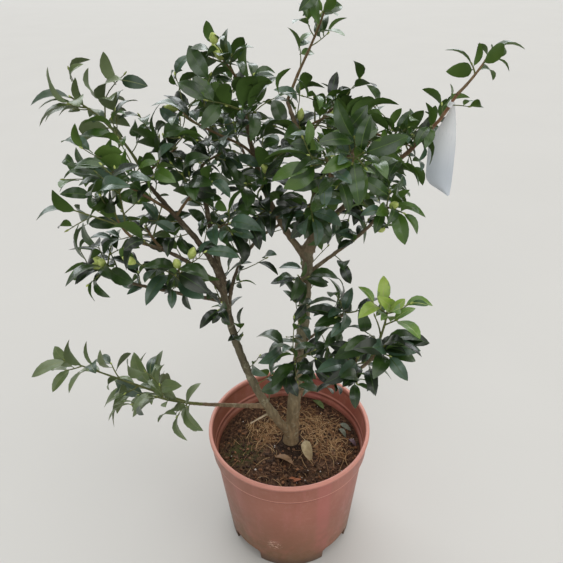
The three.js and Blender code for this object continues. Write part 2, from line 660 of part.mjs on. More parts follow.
// A cluster of buds that share the tip of the stem.
function budsOf(mass, space) {
  const { point, axis } = along(mass.stem, 1);
  const buds = [];
  for (let k = 0; k < mass.buds; k++) {
    const lean = k === 0 ? FIRST_BUD_LEAN : NEXT_BUD_LEAN;
    const pointing = moved(axis, turned(axis, k * BUD_TURN + 40), lean).normalize();
    const side = sideOf(pointing);
    const up = side.clone().cross(pointing);
    const waist = moved(point, pointing, BUD_LENGTH * LEAF_WIDEST);
    const half = BUD_WIDTH / 2;
    const corners = [
      moved(waist, side, half),
      moved(waist, up, -half),
      moved(waist, side, -half),
      moved(waist, up, half),
      moved(point, pointing, BUD_LENGTH),
      point.clone(),
    ];
    if (isInside(space, corners)) {
      buds.push(budSolid(corners));
    }
  }
  return buds;
}

function makeMasses(limbs, grown) {
  const limbLines = [...limbs.values()].flatMap(({ points, radii }) => barriersOf(points, radii));
  const masses = MASSES.map((row) => {
    const stem = walk(along(limbs.get(row.on).points, row.at).point, row, STEM_STEPS);
    const lines = barriersOf(stem, stem.map(() => STEM_RADIUS));
    return { ...row, stem, lines, hub: along(stem, HUB_AT).point };
  });
  return masses.map((mass) => {
    const space = spaceOf(mass, masses);
    const otherLines = masses.filter((other) => other !== mass).flatMap(({ lines }) => lines);
    const barriers = [...limbLines, ...otherLines, ...tagBarriers(limbs)];
    const shoots = shootsOf(mass, space, barriers);
    const pieces = shoots.map(({ points, from, to }) =>
      tube(points, points.map((_, k) => from + ((to - from) * k) / (points.length - 1)), 3));
    const leaves = leavesOf(mass, shoots, space, barriers);
    pieces.push(...leaves.map(leafSolid), ...budsOf(mass, space));
    let solid = wasm.Manifold.union(pieces);
    for (const limb of grown.values()) {
      solid = solid.subtract(limb);
    }
    return nodeOf(mass.name, solid.simplify(FUSED_TOLERANCE), mass.tint);
  });
}

// The places of the label's parts: its ring round the right bough and the corners of its rows.
function tagPlan(limbs) {
  const { point, axis } = along(limbs.get("right_bough").points, TAG_AT);
  const facing = heading(TAG_TURN, 0);
  const wide = vec(-facing.y, facing.x, 0);
  const rows = TAG_ROWS.map(([drop, back, ...edges]) =>
    edges.map((edge) => moved(point, facing, -back).addScaledVector(wide, edge).add(vec(0, 0, -drop))));
  return { point, axis, facing, rows };
}

// A blank label: a sleeve round the right bough, and a broad strip hanging behind the bough.
function makeTag(limbs, grown) {
  const { point, axis, facing, rows } = tagPlan(limbs);
  const ends = [-TAG_NECK / 2, TAG_NECK / 2].map((shift) => moved(point, axis, shift));
  const sleeve = tube(ends, [TAG_RING_RADIUS, TAG_RING_RADIUS], 8);
  const deep = facing.clone().multiplyScalar(TAG_THICK / 2);
  const strip = stitched(rows.map(([left, right]) =>
    [left.clone().sub(deep), right.clone().sub(deep), right.clone().add(deep), left.clone().add(deep)]));
  return nodeOf("label", sleeve.add(strip).subtract(grown.get("right_bough")), "label");
}

// Lines through the label, so that leaves keep off it.
function tagBarriers(limbs) {
  const { point, axis, rows } = tagPlan(limbs);
  const ends = [-TAG_NECK / 2, TAG_NECK / 2].map((shift) => moved(point, axis, shift));
  const ring = barriersOf(ends, [TAG_RING_RADIUS + 2]);
  const strip = [0.2, 0.5, 0.8].flatMap((share) => {
    const route = rows.map(([left, right]) => left.clone().lerp(right, share));
    return barriersOf(route, rows.map(([left, right]) => left.distanceTo(right) / 5));
  });
  return [...ring, ...strip];
}

const limbs = growLimbs();
const { nodes, grown } = makeLimbs(limbs);
const group = new THREE.Group();
group.name = "camellia";
group.add(makePot(), makeSoil(), ...nodes, ...makeMasses(limbs, grown), makeTag(limbs, grown));

export default group;
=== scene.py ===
"""Looks for the potted camellia shrub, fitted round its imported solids.

Lengths in the growing rule are millimetres, and every finished mesh is in metres.
"""
import math

import bpy
import numpy as np
from mathutils import Matrix, Vector, noise


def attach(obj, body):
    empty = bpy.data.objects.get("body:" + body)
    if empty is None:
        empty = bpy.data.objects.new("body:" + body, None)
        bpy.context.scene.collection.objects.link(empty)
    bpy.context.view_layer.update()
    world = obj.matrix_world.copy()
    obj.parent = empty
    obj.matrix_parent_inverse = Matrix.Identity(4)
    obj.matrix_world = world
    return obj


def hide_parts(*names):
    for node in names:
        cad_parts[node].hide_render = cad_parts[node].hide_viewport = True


MM = 0.001

# Camera, fitted to the pot and the shrub in the photograph
CAMERA_PLACE = (-0.008, -0.700, 0.9615)
CAMERA_PITCH = 31.25
CAMERA_ROLL = 1.2
CAMERA_LENS = 34.98
CAMERA_SENSOR = 36.0
PICTURE_SIDE = 563

# Pot
POT_HEIGHT = 245
RIM_RADIUS = 140
BASE_RADIUS = 115
WALL = 2.6
WALL_FLARE = 22
LIP_HEIGHT = 8
BAND_FOOT = 203
BAND_PROUD = 2.4
STEP_HEIGHT = 194.5
STEP_DEPTH = 3.4
POT_SIDES = 128
DRAIN_CUTS = 4
DRAIN_CUT_WIDTH = 64
DRAIN_CUT_HEIGHT = 26
DRAIN_CUT_DEPTH = 13

# Soil
SOIL_TOP = 195.6
SOIL_EDGE = 189
PLATEAU_RADIUS = 42

# Limbs
TRUNK_FOOT = (3, 0, 196)
LIMB_STEPS = 10
FLARE = 7
FLARE_HEIGHT = 11

# Foliage, by the source's rule
GOLDEN_ANGLE = 137.5
STEM_STEPS = 4
STEM_RADIUS = 2.4
LEAF_ASPECT = 0.48
LEAF_WIDEST = 0.45
LEAF_ARCH = 0.05
BUD_LENGTH = 13
BUD_WIDTH = 7
BUD_TURN = 150
FIRST_BUD_LEAN = 0.15
NEXT_BUD_LEAN = 0.9
SPACE_MARGIN = 0.5
TWIG_CLEARANCE = 1.8
LEAF_CLEARANCE = 0.8
OUTWARD_TILT = 0.004
LEAF_FLATTEN = 0.75
TWIG_LIFT = 0.25
TWIGS_FROM = 0.35
TWIGS_OVER = 0.6
TWIG_SPREAD = 48
TWIG_SPREAD_MORE = 16
STEM_KEY = 99
STEM_BARE = 0.45
TWIG_BARE = 0.3
HUB_AT = 0.75
LAST_LEAF_AT = 0.985
LEAF_OPEN = 66
LEAF_CLOSING = 26
TRIES = 4
RETRY_TURN = 53
HANGING_LEAF_ON = "low_left_tip"
HANGING_AT = 0.08
HANGING_WAY = (-0.12, -0.1, -1)
HANGING_FACE = (-0.25, -1, 0.1)

# Label
TAG_AT = 0.955
TAG_RING_RADIUS = 3.3
TAG_NECK = 8
TAG_TURN = -112
TAG_ROWS = [
    (-1, 3, -3.5, 4.5),
    (12, 11, -2, 6.6),
    (26, 18, -7.5, 8.4),
    (44, 24, -17, 10.4),
    (64, 27, -25.5, 12.2),
    (112, 28, -24, 14),
    (122, 28, -20.5, 14.2),
    (138, 28, 9.5, 13.5),
]

# The label's lower part is a little dimmer, from one height down to the other
LABEL_DIM_FROM = 740
LABEL_DIM_TO = 680

# Gaps that the photograph looks through: across, down and radius in its pixels
SIGHT_GAPS = (
    (375, 262, 22), (334, 262, 11), (293, 256, 12), (268, 312, 26), (150, 314, 20), (205, 328, 22),
    (276, 45, 20), (287, 80, 10), (392, 396, 14), (420, 230, 12), (172, 212, 14), (228, 199, 11),
    (140, 426, 20), (352, 30, 16), (300, 31, 10), (160, 198, 9), (178, 216, 11), (196, 238, 11),
    (212, 262, 9), (262, 215, 9), (318, 232, 8), (352, 222, 8), (262, 330, 20), (252, 96, 8),
)

# Flower buds that show in the photograph: across and down in its pixels
BUD_PLACES = (
    (228, 33), (180, 103), (312, 116), (396, 233), (130, 270), (113, 266), (105, 276), (200, 271),
)

# Limbs and masses whose bare stretches show in the photograph
NO_SPURS_ON = ("low_left_bough", "low_left_spray", "low_left_tip", "right_shoot")

# Each limb leaves the limb it grows on at a part of its length, heads off toward a compass
# angle at a rise, and its heading turns by swing and curl. Thick and thin are diameters.
LIMB_COLUMNS = ("name", "on", "at", "length", "toward", "rise", "swing", "curl", "thick", "thin")
LIMB_ROWS = [
    ("trunk", None, 0, 388, 68, 81, -109, 7, 24, 16),
    ("second_stem", "trunk", 0.04, 375, -154, 60, -5, 27, 16, 10),
    ("leader_left", "trunk", 0.96, 262, 174, 50, -56, 34, 10, 5),
    ("leader_mid", "trunk", 1, 225, -4, 69, -68, 74, 14, 5),
    ("right_bough", "trunk", 0.99, 328, 63, 25, -130, 35, 10, 4),
    ("right_low_bough", "trunk", 0.89, 172, 11, 39, -88, 15, 6, 4),
    ("front_bough", "leader_mid", 0.25, 162, -113, 45, 101, 10, 6.5, 4),
    ("upper_right_bough", "leader_mid", 0.7, 60, 34, 54, -7, -21, 4.5, 3.5),
    ("left_leader", "second_stem", 1, 160, 125, 75, -30, -25, 9, 5),
    ("left_upper_bough", "second_stem", 0.98, 192, -150, 79, -86, -54, 9, 5),
    ("left_mid_bough", "second_stem", 0.94, 153, -148, 61, 8, -28, 7, 4),
    ("left_reach_bough", "second_stem", 0.9, 137, 180, 12, 29, 21, 6, 4),
    ("left_inner_bough", "second_stem", 0.83, 166, 81, 70, -72, -49, 6, 4),
    ("low_left_bough", "second_stem", 0.27, 131, -170, 10, -2, 5, 6, 4),
    ("low_right_bough", "trunk", 0.28, 263, -43, 38, -25, 19, 7, 4.5),
    ("trunk_right_bough", "trunk", 0.54, 152, -19, 51, -68, -6, 4.5, 3.5),
    ("back_left_bough", "leader_left", 0.2, 175, 118, 30, 10, 15, 7, 4),
    ("back_right_bough", "leader_mid", 0.12, 185, 52, 32, -8, 12, 7, 4),
]

# Broken stubs fused to the second stem, in the same columns as the limbs.
STUB_ROWS = [
    ("upright_stub", "second_stem", 0.27, 32, 60, 62, 0, 0, 4, 2.4),
    ("low_stub", "second_stem", 0.22, 42, -150, -8, 0, 0, 4, 2.6),
]

# Each mass grows from one stem, given like a limb. Along it stand side twigs of a mean twig
# length with a number of leaves each, of a mean leaf length. Reach is the radius that weighs
# the mass against its neighbours for space, and droop bends its leaves down, in degrees.
MASS_COLUMNS = (
    "name", "on", "at", "length", "toward", "rise", "swing", "curl",
    "twigs", "twig", "leaves", "leaf", "reach", "droop", "buds", "seed", "tint",
)
MASS_ROWS = [
    ("top_left_spray", "leader_left", 1, 47, -149, 62, -10, -11, 3, 27, 3, 45, 62, 0, 2, 133, "dark"),
    ("top_left_whorl", "leader_left", 0.8, 66, -92, 47, -6, -21, 4, 29, 3, 49, 60, 0, 0, 847, "dark"),
    ("upper_left_spray", "leader_left", 0.66, 141, -103, 40, -140, -23, 4, 42, 3, 47, 60, 0, 2, 3, "dark"),
    ("left_upper_mass", "left_upper_bough", 1, 62, -9, 41, -2, -5, 5, 40, 3, 53, 70, 0, 0, 536, "dark"),
    ("left_tall_shoot", "left_upper_bough", 0.92, 147, 139, 62, 37, -30,
     3, 28, 3, 45, 55, 0, 0, 5, "olive"),
    ("far_left_spray", "left_upper_bough", 0.66, 125, -120, 47, -139, -24,
     3, 42, 3, 49, 55, 0, 0, 952, "mid"),
    ("left_outer_mass", "left_mid_bough", 1, 65, 160, 7, -7, 86, 4, 72, 3, 55, 62, 0, 0, 632, "dark"),
    ("left_mid_mass", "left_mid_bough", 0.82, 42, 134, 16, -8, 14, 4, 47, 3, 51, 50, 0, 0, 13, "dark"),
    ("left_bud_spray", "left_reach_bough", 1, 41, -174, 34, -2, 17, 4, 35, 3, 51, 55, 16, 3, 270, "dark"),
    ("left_reach_tuft", "left_reach_bough", 0.45, 92, -78, 50, -2, 7, 4, 33, 3, 53, 55, 8, 1, 74, "dark"),
    ("second_stem_tuft", "second_stem", 0.8, 37, -150, 89, 4, -29, 3, 30, 3, 45, 42, 20, 0, 948, "dark"),
    ("low_left_spray", "low_left_bough", 1, 204, 181, 28, 0, 1, 4, 30, 3, 42, 78, 0, 0, 166, "olive"),
    ("low_left_tip", "low_left_bough", 0.92, 119, -195, -4, -4, 8, 3, 32, 3, 57, 62, 0, 0, 209, "olive"),
    ("low_left_tuft", "low_left_bough", 0.84, 95, -113, 46, -72, -25, 3, 32, 3, 45, 46, 0, 0, 141, "olive"),
    ("left_knot", "left_leader", 0.45, 59, -55, 26, 0, 4, 4, 25, 3, 47, 56, 0, 0, 766, "dark"),
    ("left_leader_mass", "left_leader", 1, 34, -2, 45, -3, -32, 4, 27, 3, 53, 76, 0, 0, 719, "dark"),
    ("centre_left_mass", "leader_left", 0.45, 63, -83, 53, -10, -12, 5, 46, 3, 53, 62, 0, 1, 974, "dark"),
    ("centre_low_left", "left_inner_bough", 1, 42, -134, 64, -39, -43, 4, 36, 3, 49, 58, 0, 0, 535, "dark"),
    ("centre_mass", "leader_mid", 0.35, 77, -102, 16, 0, 4, 4, 30, 3, 53, 62, 0, 0, 662, "dark"),
    ("centre_top_mass", "leader_mid", 0.77, 53, -37, 48, 15, -28, 4, 38, 3, 57, 62, 0, 2, 185, "mid"),
    ("top_shoot", "leader_mid", 1, 150, 25, 67, -102, -7, 1, 20, 2, 42, 62, 0, 0, 657, "mid"),
    ("upper_right_mass", "upper_right_bough", 1, 31, -70, 28, 11, -23, 4, 22, 3, 47, 58, 0, 0, 193, "dark"),
    ("blue_right_mass", "right_bough", 0.6, 62, 4, 104, 120, 27, 4, 28, 3, 47, 62, 0, 0, 873, "mid"),
    ("right_mid_mass", "right_bough", 0.6, 58, -121, 2, -6, -6, 4, 41, 3, 47, 58, 0, 0, 920, "mid"),
    ("right_front_mass", "front_bough", 1, 44, -102, -1, 0, -6, 4, 25, 3, 55, 60, 0, 0, 609, "mid"),
    ("front_mid_mass", "front_bough", 0.67, 54, -104, 46, 2, -1, 4, 37, 3, 57, 56, 0, 0, 215, "mid"),
    ("right_low_mass", "right_low_bough", 1, 27, -62, 44, -2, -15, 3, 21, 3, 47, 58, 0, 1, 855, "mid"),
    ("trunk_node_tuft", "trunk", 0.85, 46, -113, 33, 0, 19, 2, 16, 3, 49, 42, 12, 0, 641, "dark"),
    ("trunk_right_tuft", "trunk_right_bough", 1, 16, -88, 56, 12, -24, 4, 29, 3, 49, 56, 0, 0, 787, "dark"),
    ("low_right_mass", "low_right_bough", 1, 24, -36, 64, -1, -5, 4, 22, 3, 61, 62, 0, 0, 787, "dark"),
    ("low_right_inner", "low_right_bough", 0.66, 52, -76, 67, -2, -4, 4, 23, 3, 59, 58, 10, 0, 238, "dark"),
    ("young_shoot", "low_right_bough", 0.94, 90, 23, 67, -45, 23, 3, 24, 3, 49, 52, 0, 0, 33, "young"),
    ("trunk_front_mass", "trunk", 0.51, 101, -97, 27, 0, 1, 4, 41, 3, 57, 58, 10, 0, 388, "dark"),
    ("right_shoot", "right_bough", 1, 67, 19, 39, 6, 18, 2, 15, 3, 42, 55, 0, 0, 916, "mid"),
    ("back_left_mass", "back_left_bough", 1, 64, 108, 17, 0, 0, 4, 55, 3, 51, 75, 0, 0, 368, "dark"),
    ("back_right_mass", "back_right_bough", 1, 57, -16, -16, 0, 0, 4, 45, 3, 51, 75, 0, 0, 680, "dark"),
    ("back_mid_mass", "leader_mid", 0.6, 60, 122, 37, 0, 0, 3, 31, 3, 51, 75, 0, 0, 185, "dark"),
    ("left_inner_mass", "left_upper_bough", 0.62, 66, 2, 55, 0, -10, 4, 34, 3, 47, 60, 0, 0, 291, "dark"),
    ("right_inner_mass", "right_bough", 0.32, 41, -104, 36, 0, -10, 4, 47, 3, 53, 62, 0, 0, 171, "dark"),
]

# Shares, angles and distances of the growing rule
TWIG_PROBES = (0.25, 0.5, 0.75, 1)
TWIG_AT_FOOT = 1.15
TWIG_SHORTENS = 0.4
TWIG_LEAST = 0.8
TWIG_VARIES = 0.4
OPENING_VARIES = 12
FACING_VARIES = 0.9
FACING_BACK = 0.25
LEAF_LEAST = 0.72
LEAF_VARIES = 0.45
RETRY_SHRINKS = 0.07
LEAF_PROBES = (0.3, 0.5, 0.7)
LEAF_MARGINS = (0.3, 0.4, 0.3)
CORNER_MARGINS = (1, 1, 1)
ROOT_SKIPPED = 0.1
NEAR_BLADE = 130
HANGING_GROWTH = 1.05
LABEL_PROBES = (0.2, 0.5, 0.8)
LABEL_PROBE_WIDTH = 1 / 5
TINY = 1e-9
UPRIGHT = 1e-6

# A draw's start, its two multipliers and what it is divided by
DRAW_START = 2166136261
DRAW_FOLD = 16777619
DRAW_STIR = 1540483477
DRAW_TOP = 2 ** 32


# The growing rule, as in the part's source. The last key of a draw keeps it apart from the others.


def named(columns, row):
    return dict(zip(columns, row))


def chance(*keys):
    """The same keys always give the same number from 0 to 1."""
    number = DRAW_START
    for key in keys:
        number = ((number ^ key) * DRAW_FOLD) % DRAW_TOP
        number ^= number >> 13
        number = (number * DRAW_STIR) % DRAW_TOP
        number ^= number >> 15
    return number / DRAW_TOP


def between(low, high, *keys):
    return low + (high - low) * chance(*keys)


def unit(way):
    return way / np.linalg.norm(way)


def on_circle(degrees):
    """The cosine and the sine of an angle in degrees."""
    angle = math.radians(degrees)
    return math.cos(angle), math.sin(angle)


def heading(toward, rise):
    level, up = on_circle(rise)
    east, north = on_circle(toward)
    return np.array([level * east, level * north, up])


def walk(start, row, steps):
    points = [np.array(start, float)]
    for k in range(steps):
        part = (k + 0.5) / steps
        step = heading(row["toward"] + row["swing"] * part, row["rise"] + row["curl"] * part)
        points.append(points[k] + step * row["length"] / steps)
    return points


def along(points, part):
    reached = min(max(part, 0), 1) * (len(points) - 1)
    k = min(int(reached), len(points) - 2)
    axis = points[k + 1] - points[k]
    return points[k] + axis * (reached - k), unit(axis)


def side_of(axis):
    side = np.cross(axis, (0, 0, 1))
    if np.linalg.norm(side) < UPRIGHT:
        return np.array([1.0, 0, 0])
    return unit(side)


def turned(axis, degrees):
    side = side_of(axis)
    over, up = on_circle(degrees)
    return side * over + np.cross(side, axis) * up


def squared_to(way, axis):
    return unit(way - axis * np.dot(way, axis))


def radius_at(row, part):
    return (row["thick"] + (row["thin"] - row["thick"]) * part) / 2


def grow_limbs():
    limbs = {}
    for entry in LIMB_ROWS:
        row = named(LIMB_COLUMNS, entry)
        start = along(limbs[row["on"]]["points"], row["at"])[0] if row["on"] else TRUNK_FOOT
        radii = [radius_at(row, k / LIMB_STEPS) for k in range(LIMB_STEPS + 1)]
        limbs[row["name"]] = dict(row, points=walk(start, row, LIMB_STEPS), radii=radii)
    return limbs


def lines_of(points, radii):
    """Straight pieces with their radii, for keeping twigs and leaves off them."""
    return [(points[k], points[k + 1], radii[k]) for k in range(len(points) - 1)]


def barriers_from(lines):
    starts = np.array([line[0] for line in lines])
    ways = np.array([line[1] for line in lines]) - starts
    return starts, ways, np.array([line[2] for line in lines])


def gaps_to(barriers, points):
    """How far each point stands off the nearest barrier."""
    starts, ways, radii = barriers
    offs = np.array(points)[:, None] - starts
    shares = np.clip((offs * ways).sum(2) / (ways ** 2).sum(1), 0, 1)
    return (np.linalg.norm(offs - shares[..., None] * ways, axis=2) - radii).min(1)


def space_of(mass, masses):
    """The flat sides of a mass's space, one against each other mass."""
    others = [other for other in masses if other is not mass]
    across = np.array([other["hub"] for other in others]) - mass["hub"]
    distance = np.linalg.norm(across, axis=1)
    reach = np.array([other["reach"] for other in others])
    share = (distance ** 2 + mass["reach"] ** 2 - reach ** 2) / (2 * distance)
    normals = across / distance[:, None]
    return normals, normals @ mass["hub"] + share - SPACE_MARGIN


def is_inside(space, points):
    normals, limits = space
    return bool((np.array(points) @ normals.T <= limits).all())


def first_that(make, passes, tries=TRIES):
    for attempt in range(tries):
        made = make(attempt)
        if passes(made):
            return made
    return None


def twig_from(mass, i, attempt):
    seed = mass["seed"]
    part = TWIGS_FROM + TWIGS_OVER * (i + 0.5) / mass["twigs"]
    point, axis = along(mass["stem"], part)
    turn = i * GOLDEN_ANGLE + 360 * chance(seed, 1) + attempt * RETRY_TURN
    ahead, out = on_circle(TWIG_SPREAD + TWIG_SPREAD_MORE * chance(seed, i, 2))
    way = unit(axis * ahead + turned(axis, turn) * out + np.array([0, 0, TWIG_LIFT]))
    varied = TWIG_LEAST + TWIG_VARIES * chance(seed, i, 3)
    return [point, point + way * (mass["twig"] * (TWIG_AT_FOOT - TWIG_SHORTENS * part) * varied)]


def twig_is_clear(mass, barriers, twig):
    root, tip = twig
    probes = [root + (tip - root) * part for part in TWIG_PROBES]
    return is_inside(mass["space"], [tip]) and gaps_to(barriers, probes).min() > TWIG_CLEARANCE


def shoot_of(key, points, bare, leaves):
    return {"key": key, "points": points, "bare": bare, "leaves": leaves}


def shoots_of(mass, barriers):
    """The stem and the side twigs that keep to the space and clear of the limbs."""
    shoots = [shoot_of(STEM_KEY, mass["stem"], STEM_BARE, mass["leaves"] + 1)]
    for i in range(mass["twigs"]):
        twig = first_that(
            lambda attempt: twig_from(mass, i, attempt),
            lambda made: twig_is_clear(mass, barriers, made),
        )
        if twig:
            shoots.append(shoot_of(i, twig, TWIG_BARE, mass["leaves"]))
    return shoots


def leaf_at(root, axis, facing, length, key):
    """A leaf's frame and its four outline corners: root, one side, tip and the other side."""
    normal = squared_to(facing, axis)
    side = np.cross(axis, normal)
    middle = root + axis * length * LEAF_WIDEST + normal * length * LEAF_ARCH
    half = side * length * LEAF_ASPECT / 2
    corners = np.array([root, middle + half, root + axis * length, middle - half])
    return dict(root=root, axis=axis, normal=normal, length=length, corners=corners, key=key)


def leaf_from(mass, shoot, j, attempt):
    """One try at a leaf, turned on round its shoot and a little smaller than the last try."""
    def draw(k):
        return chance(mass["seed"], shoot["key"], j, k)

    share = (j + 1) / shoot["leaves"]
    part = min(shoot["bare"] + (1 - shoot["bare"]) * share, LAST_LEAF_AT)
    root, ahead = along(shoot["points"], part)
    near, out = on_circle(LEAF_OPEN - LEAF_CLOSING * share + OPENING_VARIES * (draw(4) - 0.5))
    turn = j * GOLDEN_ANGLE + 360 * chance(mass["seed"], shoot["key"], 5) + attempt * RETRY_TURN
    axis = turned(ahead, turn) * out + ahead * near
    axis[2] = LEAF_FLATTEN * axis[2] - math.sin(math.radians(mass["droop"]))
    facing = np.array([FACING_VARIES * (draw(6) - 0.5), FACING_VARIES * (draw(7) - 0.5), 1])
    facing += OUTWARD_TILT * np.array([root[0], root[1], 0]) - FACING_BACK * ahead
    length = mass["leaf"] * (LEAF_LEAST + LEAF_VARIES * draw(8)) * (1 - RETRY_SHRINKS * attempt)
    return leaf_at(root, unit(axis), facing, length, (mass["seed"], shoot["key"], j))


def leaf_is_clear(barriers, leaf):
    width = leaf["length"] * LEAF_ASPECT
    middle = [leaf["root"] + leaf["axis"] * leaf["length"] * part for part in LEAF_PROBES]
    needed = np.array([width * margin for margin in LEAF_MARGINS] + list(CORNER_MARGINS))
    probes = np.array(middle + list(leaf["corners"][1:]))
    return bool((gaps_to(barriers, probes) >= needed + LEAF_CLEARANCE).all())


def off_twig(corners):
    moved = corners.copy()
    moved[0] += (corners[2] - corners[0]) * ROOT_SKIPPED
    return moved


def blade_faces(corners):
    return np.array([corners[[0, 1, 3]], corners[[1, 2, 3]]])


def blade_edges(corners):
    return corners[[0, 1, 2, 3, 1]], corners[[1, 2, 3, 0, 3]]


def any_cross(starts, ends, faces):
    """Whether any straight line goes through any triangle."""
    ways = (ends - starts)[:, None]
    first = faces[:, 1] - faces[:, 0]
    second = faces[:, 2] - faces[:, 0]
    across = np.cross(ways, second[None])
    size = (first * across).sum(-1)
    size = np.where(np.abs(size) < TINY, TINY, size)
    offs = starts[:, None] - faces[None, :, 0]
    u = (offs * across).sum(-1) / size
    turn = np.cross(offs, first[None])
    v = (ways * turn).sum(-1) / size
    part = (second * turn).sum(-1) / size
    return bool(((u >= 0) & (v >= 0) & (u + v <= 1) & (part >= 0) & (part <= 1)).any())


def is_crossed(corners, twig_lines, leaves):
    """Whether a leaf's blade goes through a twig or through another leaf."""
    blade = off_twig(corners)
    if any_cross(*twig_lines, blade_faces(blade)):
        return True
    if not leaves:
        return False
    others = np.array([leaf["corners"] for leaf in leaves])
    near = np.linalg.norm(others.mean(1) - blade.mean(0), axis=1) < NEAR_BLADE
    others = others[near]
    if not len(others):
        return False
    if any_cross(*blade_edges(blade), np.concatenate([blade_faces(other) for other in others])):
        return True
    edges = [blade_edges(off_twig(other)) for other in others]
    starts = np.concatenate([edge[0] for edge in edges])
    ends = np.concatenate([edge[1] for edge in edges])
    return any_cross(starts, ends, blade_faces(blade))


def twig_lines_of(shoots):
    starts = [point for shoot in shoots for point in shoot["points"][:-1]]
    ends = [point for shoot in shoots for point in shoot["points"][1:]]
    return np.array(starts), np.array(ends)


def leaf_fits(mass, barriers, twig_lines, leaves, leaf):
    return (
        is_inside(mass["space"], leaf["corners"])
        and leaf_is_clear(barriers, leaf)
        and not is_crossed(leaf["corners"], twig_lines, leaves)
    )


def leaves_of(mass, shoots, barriers):
    """The leaves that keep to the space, off the limbs, and cross no twig or other leaf."""
    twig_lines = twig_lines_of(shoots)
    leaves = []
    if mass["name"] == HANGING_LEAF_ON:
        root = along(mass["stem"], HANGING_AT)[0]
        length = mass["leaf"] * HANGING_GROWTH
        axis = unit(np.array(HANGING_WAY))
        leaves.append(leaf_at(root, axis, np.array(HANGING_FACE), length, (mass["seed"], 0, 0)))
    for shoot in shoots:
        for j in range(shoot["leaves"]):
            leaf = first_that(
                lambda attempt: leaf_from(mass, shoot, j, attempt),
                lambda made: leaf_fits(mass, barriers, twig_lines, leaves, made),
            )
            if leaf:
                leaves.append(leaf)
    return leaves


def label_plan(limbs):
    """The places of the label's parts: its ring on the right bough and its rows' two corners."""
    point, axis = along(limbs["right_bough"]["points"], TAG_AT)
    facing = heading(TAG_TURN, 0)
    wide = np.array([-facing[1], facing[0], 0])
    down = np.array([0, 0, -1.0])
    rows = [
        [point - facing * back + wide * edge + down * drop for edge in edges]
        for drop, back, *edges in TAG_ROWS
    ]
    ring = [point - axis * TAG_NECK / 2, point + axis * TAG_NECK / 2]
    return ring, facing, rows


def label_lines(limbs):
    ring, _, rows = label_plan(limbs)
    lines = lines_of(ring, [TAG_RING_RADIUS + 2])
    for share in LABEL_PROBES:
        route = [left + (right - left) * share for left, right in rows]
        widths = [np.linalg.norm(left - right) * LABEL_PROBE_WIDTH for left, right in rows]
        lines += lines_of(route, widths)
    return lines


# Spurs and fine twigs, carried on within the same reach

# Each range is a lowest and a highest value, and a spur's leaves stay one under the highest.

SPUR_KEY = 1000
SPUR_SPREADS = (32, 78)
SPUR_LENGTHS = (13, 46)
SPUR_LEAF_SIZES = (37, 55)
SPUR_DROOPS = (-16, 10)
SPUR_LEAVES = (2, 5)
LEAST_LEAVES = 2
SPUR_SPACING = 23
SPUR_TRIES = 7
SPUR_SHIFT = 0.5
SPUR_BARE = 0.4
SPUR_START = 0.12
SPUR_PROBES = (0.4, 0.6, 0.8, 1)
FIRST_SPUR_AT = 0.12
LAST_SPUR_AT = 0.98
LEAST_ROOM = 19
REACH_OVER = 17
NEAR_LEAF = 130
ROLLS = (-46, 46)
ROLL_SHARES = (1, 0.6, 0.3)
NEAR_ROOT = 110
SHORT_LINE = 0.01
ROUTE_NUMBERS = 10000
PLACE_NUMBERS = 10


def rolled(leaf, share=1.0):
    """The same leaf turned about its own midrib by its drawn angle."""
    kept, over = on_circle(share * between(*ROLLS, *leaf["key"], 19))
    facing = leaf["normal"] * kept + np.cross(leaf["axis"], leaf["normal"]) * over
    return leaf_at(leaf["root"], leaf["axis"], facing, leaf["length"], leaf["key"])


def roll_leaves(masses):
    """Rolls the leaves of the source's shoots as far as no other leaf is in the way."""
    leaves = [leaf for mass in masses for leaf in mass["leaves_made"]]
    roots = np.array([leaf["root"] for leaf in leaves])
    for k, leaf in enumerate(leaves):
        near = np.flatnonzero(np.linalg.norm(roots - leaf["root"], axis=1) < NEAR_ROOT)
        others = [leaves[n] for n in near if n != k]
        no_twigs = (leaf["root"][None], leaf["root"][None] + SHORT_LINE)
        turned_leaf = first_that(
            lambda attempt: rolled(leaf, ROLL_SHARES[attempt]),
            lambda made: not is_crossed(made["corners"], no_twigs, others),
            len(ROLL_SHARES),
        )
        if turned_leaf:
            leaf.update(turned_leaf)


def spur_routes(limbs, masses):
    """What a spur can grow on: each limb, then each mass's stem and twigs, with their radii."""
    routes = [(limb["points"], limb["radii"]) for name, limb in limbs.items() if name not in NO_SPURS_ON]
    for mass in masses:
        if mass["name"] not in NO_SPURS_ON:
            for shoot in mass["shoots"]:
                thick = STEM_RADIUS if shoot["key"] == STEM_KEY else 1
                routes.append((shoot["points"], [thick] * len(shoot["points"])))
    return routes


def is_in_reach(point, masses):
    return any(np.linalg.norm(point - mass["hub"]) < mass["reach"] + REACH_OVER for mass in masses)


def camera_axes():
    """The camera's ways to its right, down and ahead."""
    level, fall = on_circle(CAMERA_PITCH)
    along_right, along_down = on_circle(CAMERA_ROLL)
    ahead = np.array([0, level, -fall])
    level_down = np.array([0, -fall, -level])
    right = along_right * np.array([1, 0, 0]) + along_down * level_down
    return right, np.cross(ahead, right), ahead


def seen_at(point):
    """Where the photograph shows a point, across and down in pixels, and its depth in mm."""
    right, down, ahead = camera_axes()
    away = point - np.array(CAMERA_PLACE) / MM
    depth = away @ ahead
    scale = PICTURE_SIDE * CAMERA_LENS / CAMERA_SENSOR / depth
    return PICTURE_SIDE / 2 + scale * (away @ right), PICTURE_SIDE / 2 + scale * (away @ down), depth


def is_in_gap(point):
    """Whether a point would show in one of the gaps that the photograph looks through."""
    across, down, _ = seen_at(point)
    return any(math.hypot(across - x, down - y) < radius for x, y, radius in SIGHT_GAPS)


